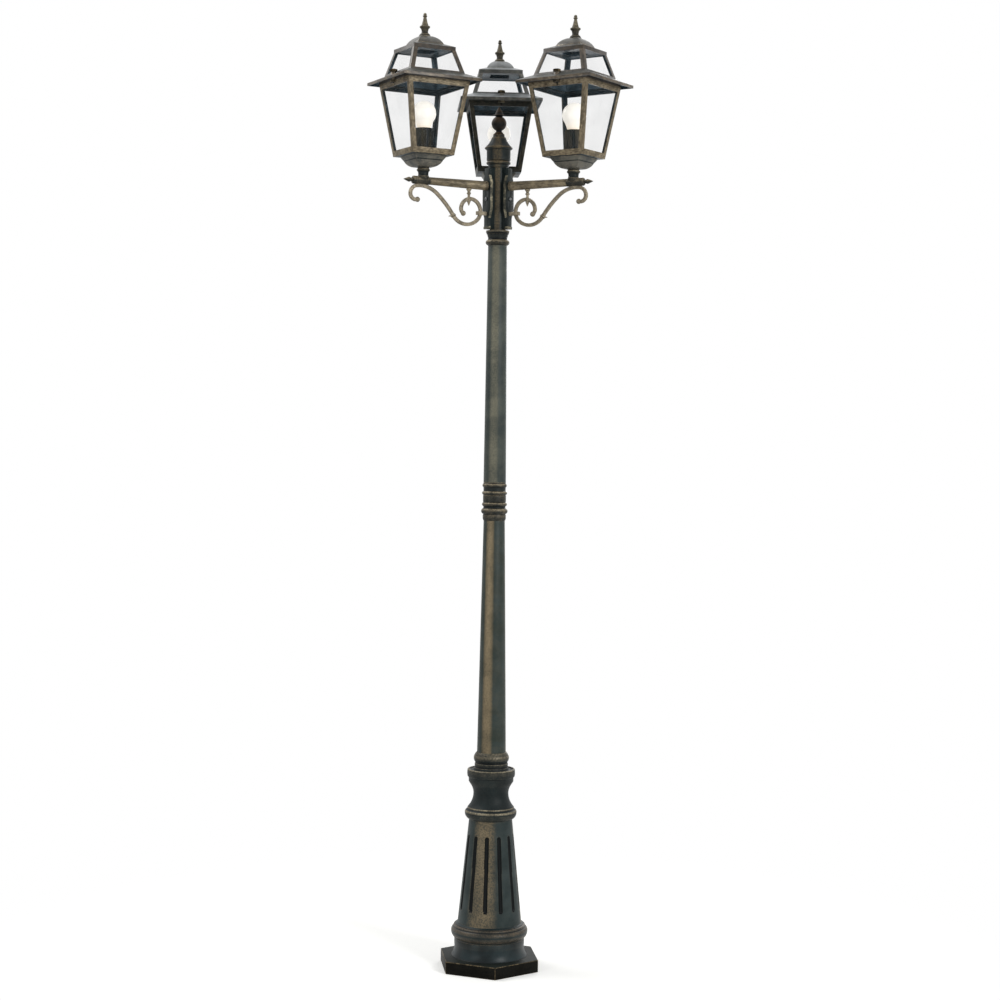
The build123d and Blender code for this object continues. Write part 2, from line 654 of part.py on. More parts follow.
# ---------------------------------------------------------------- lantern, about its own axis, +X to the thumb screw
def cage_half(z):
    """Outer half width of the cage at a height above its foot."""
    return cage_foot_half + (cage_top_half - cage_foot_half) * z / cage_h


def upper_half(z):
    """Outer half width of the roof's glazed part, z above the joint."""
    return upper_foot_half + (upper_top_half - upper_foot_half) * (z - upper_foot_z) / (upper_top_z - upper_foot_z)


def bowl():
    outer = four_sided(bowl_half + 5, (16, 0), (22, 1.2), (36.5, 16.5, 2.2), (bowl_half, bowl_h, 0.6))
    t = bowl_wall
    inner = four_sided(bowl_half + 5, (13, t), (20.5, t + 1.2), (36.5 - t, 16.5 + t / 2, 2.0),
                       (bowl_half - t, bowl_h + 1, 0.6))
    return Pos(0, 0, -bowl_h) * (outer - inner - Cylinder(nipple_r + screw_gap, 20))


def cage():
    shell = spire(cage_foot_half, 0, cage_top_half, cage_h)
    hollow_top = cage_h - ledge_t
    hollow = spire(cage_half(cage_floor) - cage_wall, cage_floor, cage_half(hollow_top) - cage_wall, hollow_top)
    body = shell - hollow - block(ledge_half, hollow_top - 1, cage_h + 1)
    body -= windows(cage_half, foot_rail, cage_h - top_rail, cage_leg)
    body -= Cylinder(nipple_r + screw_gap, 20)
    body += Pos(screw_at - 2, 0, cage_h - ledge_t / 2) * Box(2 * ear_half + 1, 2 * ear_half, ledge_t)
    body -= Pos(screw_at, 0, cage_h) * Cylinder(thumb_shank_r + thumb_hole_gap, 4 * ledge_t)
    lug = Pos(hinge_x, 0, cage_h) * Rot(90, 0, 0) * Cylinder(knuckle_r, centre_knuckle)
    arm = Pos((hinge_x - cage_top_half + 3) / 2, 0, cage_h - 3) * Box(hinge_out + 3, centre_knuckle, 6)
    body += lug + arm
    return body - Pos(hinge_x, 0, cage_h) * Rot(90, 0, 0) * Cylinder(hinge_pin_r + pin_gap, 2 * centre_knuckle)


def lower_panes():
    return panes(cage_half, cage_wall, cage_floor + 0.2, cage_h - ledge_t - 0.6)


def hinge_pin():
    half = centre_knuckle / 2 + knuckle_space + side_knuckle
    pin = Cylinder(hinge_pin_r, 2 * half + 1) + Pos(0, 0, half + 1) * Cylinder(hinge_pin_r + 1.1, 1.4)
    pin += Pos(0, 0, -half - 1) * Cylinder(hinge_pin_r + 1.1, 1.4)
    return Pos(hinge_x, 0, cage_h) * Rot(90, 0, 0) * pin


def lamp_holder():
    low = cage_floor
    socket = bulb_top - bulb_len
    body = turned(
        (nipple_r + screw_gap, low), (holder_r, low), (holder_r, low + holder_h - 2), (holder_r - 2, low + holder_h),
        (bulb_cap_r + slip, low + holder_h), (bulb_cap_r + slip, socket), (0, socket), (0, nipple_len - bowl_h + 3),
        (nipple_r + screw_gap, nipple_len - bowl_h + 3))
    return body


def holder_cover():
    wall = Cylinder(cover_r - 1.2, cover_h) - Cylinder(holder_r + slip, cover_h + 2)
    body = Pos(0, 0, cage_floor + cover_h / 2) * wall
    rib = Pos(cover_r - 1.4, 0, cage_floor + cover_h / 2) * Cylinder(1.4, cover_h)
    for index in range(cover_ribs):
        body += Rot(0, 0, 360 / cover_ribs * index) * rib
    return body


def bulb_cap():
    low = bulb_top - bulb_len
    points = [(0, low), (4, low), (bulb_cap_r - 2, low + 5), (bulb_cap_r - 1, low + 6)]
    for step in range(4):
        points += list(bead(bulb_cap_r - 1, low + 8.5 + 3.6 * step, 3.2, 1.0))
    points += [(bulb_cap_r - 1, low + bulb_cap_h), (0, low + bulb_cap_h)]
    return turned(*points)


def bulb():
    """Glass envelope, open where it meets its cap."""
    low = bulb_top - bulb_len + bulb_cap_h
    middle = bulb_top - bulb_r
    shoulder = (bulb_r * cos(radians(-38)), middle + bulb_r * sin(radians(-38)))
    t = bulb_glass
    inner = bulb_r - t
    in_shoulder = (inner * cos(radians(-38)), middle + inner * sin(radians(-38)))
    bow = bulb_r * (1 - cos(radians(19)))
    side_bow = bulb_r * (1 - cos(radians(45)))
    return turned(
        (bulb_cap_r - 1 - t, low), (bulb_cap_r - 1, low), (bulb_neck_r, low + 8), shoulder + (-0.8,),
        (bulb_r, middle, bow),
        (0, bulb_top, side_bow), (0, bulb_top - t), (inner, middle, -side_bow * inner / bulb_r),
        in_shoulder + (-bow * inner / bulb_r,), (bulb_neck_r - t, low + 8, 0.8))


def roof_frame():
    """Eave, curb, glazed upper frame and top slab in one casting, heights from the joint."""
    full = block(eave_half, eave_lip_low, eave_lip_top)
    full += spire(eave_half, eave_lip_top, upper_foot_half, upper_foot_z)
    under_half = eave_half - eave_t
    drop = eave_t * 1.13
    slope = (upper_foot_z - eave_lip_top) / (eave_half - upper_foot_half)
    under_z = eave_lip_top - drop + slope * eave_t
    under_top = under_z + slope * (under_half - upper_foot_half)
    hollow = block(under_half, eave_lip_low - 1, under_z)
    hollow += spire(under_half, under_z, upper_foot_half, under_top)
    curb = (full & block(cage_top_half, 0, curb_h)) - block(curb_half, -1, curb_h + 1)
    shell_low = curb_h - 2
    shell = spire(upper_half(shell_low), shell_low, upper_half(upper_top_z), upper_top_z)
    shell -= spire(upper_half(shell_low - 1) - upper_wall, shell_low - 1,
                   upper_half(upper_top_z) - upper_wall, upper_top_z)
    shell -= windows(upper_half, upper_foot_z + 4.5, upper_top_z - 1.6, cage_leg)
    slab = block(upper_top_half, upper_top_z, slab_top_z)
    slab += spire(upper_top_half - 0.4, slab_top_z, dome_half, slab_peak_z)
    body = full - hollow - spire(upper_half(curb_h) - upper_wall, curb_h,
                                 upper_half(upper_foot_z + 1) - upper_wall, upper_foot_z + 1)
    body -= block(curb_half, eave_lip_low - 1, curb_h)
    body += curb
    body += shell
    body += slab - block(vent_half, upper_top_z - 1, slab_peak_z + 1)
    body += Pos(screw_at, 0, thumb_boss_z / 2) * Cylinder(thumb_boss_r, thumb_boss_z)
    body -= Pos(screw_at, 0, 0) * Cylinder(thumb_shank_r + pin_gap, 4 * thumb_boss_z)
    body -= Pos(screw_at, 0, 0) * Cylinder(thumb_shank_r + 2.1, 5)
    for way in (1, -1):
        y = way * (centre_knuckle / 2 + knuckle_space + side_knuckle / 2)
        body += Pos(hinge_x, y, 0) * Rot(90, 0, 0) * Cylinder(knuckle_r, side_knuckle)
        leaf = Box(hinge_out + 3, side_knuckle, knuckle_r - 0.3)
        body += Pos((hinge_x - cage_top_half + 3) / 2, y, knuckle_r / 2 + 0.15) * leaf
    return body - Pos(hinge_x, 0, 0) * Rot(90, 0, 0) * Cylinder(hinge_pin_r + pin_gap, 4 * centre_knuckle)


def upper_panes():
    return panes(upper_half, upper_wall, curb_h + 0.2, upper_top_z - 0.6)


def roof_cap():
    base = slab_peak_z
    outer = four_sided(dome_half + 5, (dome_half, 0), (14.8, dome_h, 2.9))
    inner = four_sided(dome_half + 5, (dome_half - dome_wall, -1), (dome_half - dome_wall, 0),
                       (14.8 - dome_wall / 2, dome_h - dome_wall, 2.4))
    return Pos(0, 0, base) * (outer - inner - Pos(0, 0, dome_h) * Cylinder(roof_stud_r + screw_gap, 20))


def roof_finial():
    """Finial with its stud through the roof cap, and the nut on it."""
    base = slab_peak_z + dome_h
    stud_foot = base - dome_wall - 8
    body = turned(
        (0, stud_foot), (roof_stud_r, stud_foot), (roof_stud_r, base), (15.4, base), (15.4, base + 1.2),
        (12.4, base + 6.2, -0.5), (9.2, base + 8), (8.2, base + 14, -0.5), (9.6, base + 19), (12.9, base + 22.6),
        (12.9, base + 25.4), (8.8, base + 27.4), (3.7, base + 48.2, -0.4), (5.4, base + 49.6), (5.4, base + 51.6),
        (3.4, base + 52.8), (4.4, base + 54.8), dome(4.4, base + 54.8, roof_finial_h - 54.8))
    nut = Pos(0, 0, base - dome_wall - 5) * extrude(RegularPolygon(5, 6, major_radius=False), 5)
    return [body, nut - Pos(0, 0, base) * Cylinder(roof_stud_r + screw_gap, 60)]


def thumb_screw():
    """Knurled head, shank and retaining ring; the shank's end swings clear of the cage."""
    seat = thumb_boss_z + pin_gap
    head = turned((0, seat), (thumb_r - 1, seat), (thumb_r, seat + 1), (thumb_r, seat + thumb_h - 1),
                  (thumb_r - 1, seat + thumb_h), (0, seat + thumb_h))
    for index in range(18):
        head -= Rot(0, 0, 20 * index) * Pos(thumb_r + 0.6, 0, seat + thumb_h / 2) * Cylinder(1.4, thumb_h + 2)
    shank = Pos(0, 0, (seat - ledge_t + 0.7) / 2) * Cylinder(thumb_shank_r, seat + ledge_t - 0.7)
    ring = Pos(0, 0, 1.5) * Cylinder(thumb_shank_r + 1.7, 1.5)
    return Pos(screw_at, 0, 0) * (head + shank + ring)


# ---------------------------------------------------------------- the whole lamp
def solids_of(shape):
    """The separate solids of a shape or a list of shapes."""
    if isinstance(shape, (list, tuple)):
        return [solid for item in shape for solid in solids_of(item)]
    return list(shape.solids())


def placed(frame, shape):
    return [frame * solid for solid in solids_of(shape)]


nodes = {
    "hex_foot": hex_foot(),
    "fluted_pedestal": fluted_pedestal(),
    "cup_collar": cup_collar(),
    "lower_pole": lower_pole(),
    "mid_coupling": mid_coupling(),
    "upper_pole": upper_pole(),
    "hub_socket": hub_socket(),
    "hub_tube": hub_tube(),
    "hub_cap": hub_cap(),
    "hub_finial": hub_finial(),
    "anchor_plate": anchor_plate(),
    "tie_rod": tie_rod(),
    "tie_rod_nut": rod_nut(),
    "terminal_block": terminal_block(),
}

arm_pieces = {"arm": arm_tube(), "arm_bracket": bracket(), "scroll": scroll(), "lantern_stem": stem()}
arm_groups = {"bracket_screws": bracket_screw(), "arm_spears": spear(), "lamp_leads": lead()}
cage_pieces = {"lantern_bowl": bowl(), "lantern_cage": cage(), "lower_panes": lower_panes(), "bulb": bulb()}
cage_groups = {"hinge_pins": hinge_pin(), "lamp_holders": lamp_holder(), "holder_covers": holder_cover(),
               "bulb_caps": bulb_cap()}
roof_pieces = {"roof_frame": roof_frame(), "upper_panes": upper_panes(), "roof_cap": roof_cap(),
               "roof_finial": roof_finial(), "thumb_screw": thumb_screw()}

for group in (*arm_groups, *cage_groups):
    nodes[group] = []
for side, azimuth in arm_azimuths.items():
    arm_frame = Rot(0, 0, azimuth)
    lantern_x, lantern_y = arm_reach * cos(radians(azimuth)), arm_reach * sin(radians(azimuth))
    cage_frame = Pos(lantern_x, lantern_y, cage_z) * Rot(0, 0, facings[side])
    roof_frame_at = Pos(lantern_x, lantern_y, joint_z) * Rot(0, 0, facings[side])
    for frame, pieces, groups in ((arm_frame, arm_pieces, arm_groups), (cage_frame, cage_pieces, cage_groups),
                                  (roof_frame_at, roof_pieces, {})):
        for name, shape in pieces.items():
            nodes[f"{name}_{side}"] = placed(frame, shape)
        for name, shape in groups.items():
            nodes[name] += placed(frame, shape)

os.makedirs("parts", exist_ok=True)
for name, shape in nodes.items():
    solids = solids_of(shape)
    export_step(solids[0] if len(solids) == 1 else Compound(children=solids), f"parts/{name}.step")
roof_tip = joint_z + slab_peak_z + dome_h + roof_finial_h
print(f"{len(nodes)} nodes, height {finial_z + finial_h:.1f}, roof tips {roof_tip:.1f}")
lead_turns = [round(lead_bend / (2 * lead_r), 2)]
print("lead bend radius in diameters", lead_turns)
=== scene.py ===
import math

import bmesh
import bpy
from mathutils import Matrix, Vector


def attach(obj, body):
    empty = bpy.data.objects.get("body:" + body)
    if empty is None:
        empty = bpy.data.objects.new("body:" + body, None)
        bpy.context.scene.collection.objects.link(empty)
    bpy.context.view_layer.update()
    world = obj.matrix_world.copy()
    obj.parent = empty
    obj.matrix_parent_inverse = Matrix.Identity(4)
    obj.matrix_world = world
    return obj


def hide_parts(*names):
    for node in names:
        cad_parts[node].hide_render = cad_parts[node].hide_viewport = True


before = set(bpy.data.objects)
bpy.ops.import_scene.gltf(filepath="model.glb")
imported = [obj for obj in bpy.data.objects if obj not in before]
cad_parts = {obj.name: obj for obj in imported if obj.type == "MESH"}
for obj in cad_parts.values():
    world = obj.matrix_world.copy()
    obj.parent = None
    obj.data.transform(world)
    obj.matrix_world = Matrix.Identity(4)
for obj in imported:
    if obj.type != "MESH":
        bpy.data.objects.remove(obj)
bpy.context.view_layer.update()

mm = 0.001
sides = ("left", "right", "back")
armTurn = {"left": 210.0, "right": 330.0, "back": 90.0}
lanternTurn = {"left": 208.5, "right": 236.5, "back": 273.5}  # towards the thumb screw
levels = {"arm": 1988.0, "cageFoot": 2047.7, "roofJoint": 2227.1}
# where the posts meet the rails
railEdges = {"lantern_cage_": (2061.7, 2213.7), "roof_frame_": (2251.2, 2302.7)}
armReach = 214.8
print("frame loaded:", len(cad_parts), "nodes")

# camera, solved from the photographed edges
shot = {"position": (-0.00044, -5.038, 1.3512), "yaw": 0.165, "pitch": -1.775, "roll": 0.703, "lens": 71.33}


def aimCamera(look):
    yaw, pitch, roll = (math.radians(look[key]) for key in ("yaw", "pitch", "roll"))
    forward = Vector((math.sin(yaw) * math.cos(pitch), math.cos(yaw) * math.cos(pitch), math.sin(pitch)))
    right = Vector((math.cos(yaw), -math.sin(yaw), 0))
    up = right.cross(forward)
    tiltedRight = right * math.cos(roll) + up * math.sin(roll)
    tiltedUp = up * math.cos(roll) - right * math.sin(roll)
    camera = bpy.data.cameras.new("photoCamera")
    camera.lens = look["lens"]
    camera.sensor_width = 36
    camera.clip_end = 60
    holder = bpy.data.objects.new("photoCamera", camera)
    turn = Matrix((tiltedRight, tiltedUp, -forward)).transposed().to_4x4()
    holder.matrix_world = Matrix.Translation(look["position"]) @ turn
    bpy.context.scene.collection.objects.link(holder)
    bpy.context.scene.camera = holder


aimCamera(shot)
print("camera set")


# materials: sRGB hex in, linear out
def linear(hexColour):
    channels = [int(hexColour[at:at + 2], 16) / 255 for at in (0, 2, 4)]
    return (*(c / 12.92 if c <= 0.04045 else ((c + 0.055) / 1.055) ** 2.4 for c in channels), 1.0)


def addNode(tree, kind, settings=None, inputs=None):
    # a node given as an input stands for its first output
    node = tree.nodes.new(kind)
    for name, value in (settings or {}).items():
        setattr(node, name, value)
    for key, value in (inputs or {}).items():
        if isinstance(value, bpy.types.Node):
            value = value.outputs[0]
        if isinstance(value, bpy.types.NodeSocket):
            tree.links.new(value, node.inputs[key])
        else:
            node.inputs[key].default_value = value
    return node


def newMaterial(name):
    material = bpy.data.materials.new(name)
    material.use_nodes = True
    material.node_tree.nodes.clear()
    return material, material.node_tree


# settings that many nodes share; a colour Mix takes 6 and 7 and gives its result as output 2
soft = {"interpolation_type": "SMOOTHSTEP"}
colourMix = {"data_type": "RGBA"}
add, minus, times, timesAdd, larger, angleOf = ({"operation": kind} for kind in (
    "ADD", "SUBTRACT", "MULTIPLY", "MULTIPLY_ADD", "MAXIMUM", "ARCTAN2"))
timesHeld, minusHeld = ({**kind, "use_clamp": True} for kind in (times, minus))  # held between 0 and 1

# what each rubbed finish starts from: colours, one of them a painted shade for sunk faces, shares of paste,
# of painted highlight and of painted sky sheen by place, grain sizes in mm, and gloss;
# the lacquer's own grit is finer than 1.6 mm and is drawn that coarse so that it shows
rub = {
    "ground": "161e20", "groundLight": "222b2d", "hollowBareShaded": "05090a", "umber": "443a2f", "gold": "9c8a6c",
    "skySheenColour": "9aa09c", "all": 0.04, "onEdges": 0.3, "crown": 0.0, "below": 0.0, "above": 0.0, "highlightBand": 0.0,
    "highlightAt": -110, "highlightBands": 3.0, "highlightFrom": 0.1, "patchMm": 45, "speckMm": 4, "brushMm": 22,
    "gritMm": 1.6, "streak": 0.0, "contrast": (0.25, 1.3), "cloud": (0.6, 1.15), "thinPaste": 1.7,
    "bump": 0.22, "gritDepthMm": 0.6, "shine": 0.12, "roughness": 0.45, "pasteSmoothing": 0.07,
    "pasteMetal": 0.30}
# the values of noise or slope between which each effect sets in
ramps = {
    "strokes": (0.38, 0.60), "crown": (-0.25, 0.55), "below": (0.2, -0.6), "grain": (0.30, 0.68),
    "cloud": (0.3, 0.62), "pale": (0.35, 0.7), "above": (0.15, 0.9), "stain": (0.35, 0.65),
    "dust": (0.35, 0.75)}


def ramp(name, value, low=0.0, high=1.0):
    start, end = ramps[name]
    return {"Value": value, "From Min": start, "From Max": end, "To Min": low, "To Max": high}


# cast aluminium under green-black satin lacquer, rubbed by hand with old gold paste: a dark cool ground
# that shows through a warm speckle, with more paste on whatever stands proud and none in the hollows
# hollows also take a painted shade; bead crowns, ring bellies and post stripes take painted highlights; faces
# turned up take a painted sky sheen
def rubbedCasting(name, finish):
    material, tree = newMaterial(name)
    look = {**rub, **finish}
    spot = addNode(tree, "ShaderNodeTexCoord")
    where = spot.outputs["Object"]
    rise = addNode(tree, "ShaderNodeSeparateXYZ", {}, {0: spot.outputs["Normal"]}).outputs["Z"]
    raised = addNode(tree, "ShaderNodeAttribute", {"attribute_name": "raised"}).outputs["Fac"]
    drawn = where
    if look["streak"]:  # the cloth went along each bar
        along = addNode(tree, "ShaderNodeUVMap", {"uv_map": "grain"})
        drawn = addNode(tree, "ShaderNodeMapping", {}, {"Vector": along, "Scale": (look["streak"], 1, 1)})
    patches, speck, strokes, grit = (addNode(tree, "ShaderNodeTexNoise", {}, {
        "Vector": vector, "Scale": 1 / (look[size] * mm), "Detail": detail, "Roughness": rough})
        for size, vector, detail, rough in (
            ("patchMm", where, 4.0, 0.5), ("speckMm", drawn, 3.0, 0.7), ("brushMm", where, 2.0, 0.5),
            ("gritMm", where, 2.0, 0.5)))
    proud = addNode(tree, "ShaderNodeMath", larger, {0: raised, 1: 0.0})
    # how sunk a face is: there the paste is wiped off and a painted shade colour goes in
    hollowBareShaded = addNode(tree, "ShaderNodeMath", timesHeld, {0: raised, 1: -1.0})
    edge = look["onEdges"]
    wiped = addNode(tree, "ShaderNodeMapRange", soft, ramp("strokes", strokes, edge / 4, edge))
    gold = addNode(tree, "ShaderNodeMath", timesAdd, {0: proud, 1: wiped, 2: look["all"]})
    for key in ("crown", "below"):
        if look[key]:  # a bead or ring is paler on its upper or its lower side: partly paste, partly a painted highlight
            side = addNode(tree, "ShaderNodeMapRange", soft, ramp(key, rise, 0.0, look[key]))
            gold = addNode(tree, "ShaderNodeMath", timesAdd, {0: proud, 1: side, 2: gold})
    if look["highlightBand"]:  # painted highlight stripes up the post, facing the front, partly standing for long strokes of paste
        axes = addNode(tree, "ShaderNodeSeparateXYZ", {}, {0: where})
        angle = addNode(tree, "ShaderNodeMath", angleOf, {0: axes.outputs["Y"], 1: axes.outputs["X"]})
        offset = addNode(tree, "ShaderNodeMath", timesAdd, {
            0: angle, 1: look["highlightBands"], 2: -look["highlightBands"] * math.radians(look["highlightAt"])})
        wave = addNode(tree, "ShaderNodeMath", {"operation": "COSINE"}, {0: offset})
        highlightStroke = addNode(tree, "ShaderNodeMapRange", soft, {
            "Value": wave, "From Min": look["highlightFrom"], "From Max": 1.0, "To Max": look["highlightBand"]})
        gold = addNode(tree, "ShaderNodeMath", add, {0: gold, 1: highlightStroke})
    gold = addNode(tree, "ShaderNodeMath", minusHeld, {0: gold, 1: hollowBareShaded})
    grain = addNode(tree, "ShaderNodeMapRange", soft, ramp("grain", speck, *look["contrast"]))
    cloud = addNode(tree, "ShaderNodeMapRange", soft, ramp("cloud", patches, *look["cloud"]))
    grained = addNode(tree, "ShaderNodeMath", times, {0: gold, 1: grain})
    worn = addNode(tree, "ShaderNodeMath", timesHeld, {0: grained, 1: cloud})
    pale = addNode(tree, "ShaderNodeMapRange", soft, ramp("pale", patches))
    thin = addNode(tree, "ShaderNodeMath", timesHeld, {0: worn, 1: look["thinPaste"]})
    # sunk faces take the darkest colour, a painted shade
    layers = [(pale, "groundLight"), (hollowBareShaded, "hollowBareShaded"), (thin, "umber"), (worn, "gold")]
    if look["above"]:  # a painted silvery sheen of the sky on faces that point up
        skySheenMask = addNode(tree, "ShaderNodeMapRange", soft, ramp("above", rise, 0.0, look["above"]))
        layers.append((addNode(tree, "ShaderNodeMath", times, {0: skySheenMask, 1: cloud}), "skySheenColour"))
    colour = linear(look["ground"])
    for cover, layer in layers:
        colour = addNode(tree, "ShaderNodeMix", colourMix, {
            0: cover, 6: colour, 7: linear(look[layer])}).outputs[2]
    bump = addNode(tree, "ShaderNodeBump", {}, {
        "Strength": look["bump"], "Distance": look["gritDepthMm"] * mm, "Height": grit})
    roughness = addNode(tree, "ShaderNodeMapRange", {}, {
        "Value": worn, "To Min": look["roughness"], "To Max": look["roughness"] - look["pasteSmoothing"]})
    metallic = addNode(tree, "ShaderNodeMapRange", {}, {"Value": worn, "To Max": look["pasteMetal"]})
    shader = addNode(tree, "ShaderNodeBsdfPrincipled", {}, {
        "Base Color": colour, "Roughness": roughness, "Metallic": metallic,
        "Specular IOR Level": look["shine"], "Normal": bump})
    addNode(tree, "ShaderNodeOutputMaterial", {}, {"Surface": shader})
    return material


# the plain fittings: plated steel and brass, phenolic mouldings and wire sheath, each a little cloudy
def plainFinish(name, finish):
    material, tree = newMaterial(name)
    look = {"stretch": (1, 1, 1), "metallic": 0.0, "shine": 0.5, **finish}
    where = addNode(tree, "ShaderNodeTexCoord").outputs["Object"]
    drawn = addNode(tree, "ShaderNodeMapping", {}, {"Vector": where, "Scale": look["stretch"]})
    cloud = addNode(tree, "ShaderNodeTexNoise", {}, {
        "Vector": drawn, "Scale": 1 / (look["patchMm"] * mm), "Detail": 3.0})
    share = addNode(tree, "ShaderNodeMapRange", soft, ramp("stain", cloud))
    colour = addNode(tree, "ShaderNodeMix", colourMix, {
        0: share, 6: linear(look["dark"]), 7: linear(look["light"])}).outputs[2]
    bump = addNode(tree, "ShaderNodeBump", {}, {"Strength": 0.1, "Distance": 0.3 * mm, "Height": cloud})
    roughness = addNode(tree, "ShaderNodeMapRange", {}, {
        "Value": cloud, "To Min": look["roughness"], "To Max": look["roughness"] + 0.1})
    shader = addNode(tree, "ShaderNodeBsdfPrincipled", {}, {
        "Base Color": colour, "Roughness": roughness, "Metallic": look["metallic"],
        "Specular IOR Level": look["shine"], "Normal": bump})
    addNode(tree, "ShaderNodeOutputMaterial", {}, {"Surface": shader})
    return material


# 3 mm float glass, a little grey with dust: mostly see-through, with a sharp reflection
def floatGlass(name, look):
    material, tree = newMaterial(name)
    where = addNode(tree, "ShaderNodeTexCoord").outputs["Object"]
    film = addNode(tree, "ShaderNodeTexNoise", {}, {
        "Vector": where, "Scale": 1 / (look["dustMm"] * mm), "Detail": 4.0})
    dust = addNode(tree, "ShaderNodeMapRange", soft, ramp("dust", film))
    colour = addNode(tree, "ShaderNodeMix", colourMix, {
        0: dust, 6: linear(look["clear"]), 7: linear(look["dusty"])}).outputs[2]
    roughness = addNode(tree, "ShaderNodeMapRange", {}, {"Value": dust, "To Min": 0.02, "To Max": 0.08})
    alpha = addNode(tree, "ShaderNodeMapRange", {}, {
        "Value": dust, "To Min": look["alpha"], "To Max": look["alpha"] + look["dustAlpha"]})
    shader = addNode(tree, "ShaderNodeBsdfPrincipled", {}, {
        "Base Color": colour, "Roughness": roughness, "Alpha": alpha})
    addNode(tree, "ShaderNodeOutputMaterial", {}, {"Surface": shader})
    return material


# opal lamp glass, lit: white in the body, warmer towards the neck
def opalGlass(name, look):
    material, tree = newMaterial(name)
    where = addNode(tree, "ShaderNodeTexCoord").outputs["Object"]
    height = addNode(tree, "ShaderNodeSeparateXYZ", {}, {0: where}).outputs["Z"]
    rise = addNode(tree, "ShaderNodeMapRange", soft, {
        "Value": height, "From Min": look["neckZ"] * mm, "From Max": look["bodyZ"] * mm})
    glow = addNode(tree, "ShaderNodeMix", colourMix, {
        0: rise, 6: linear(look["neck"]), 7: linear(look["body"])}).outputs[2]
    shader = addNode(tree, "ShaderNodeBsdfPrincipled", {}, {
        "Base Color": linear(look["glass"]), "Roughness": 0.3, "Emission Color": glow,
        "Emission Strength": look["glow"]})
    addNode(tree, "ShaderNodeOutputMaterial", {}, {"Surface": shader})
    return material
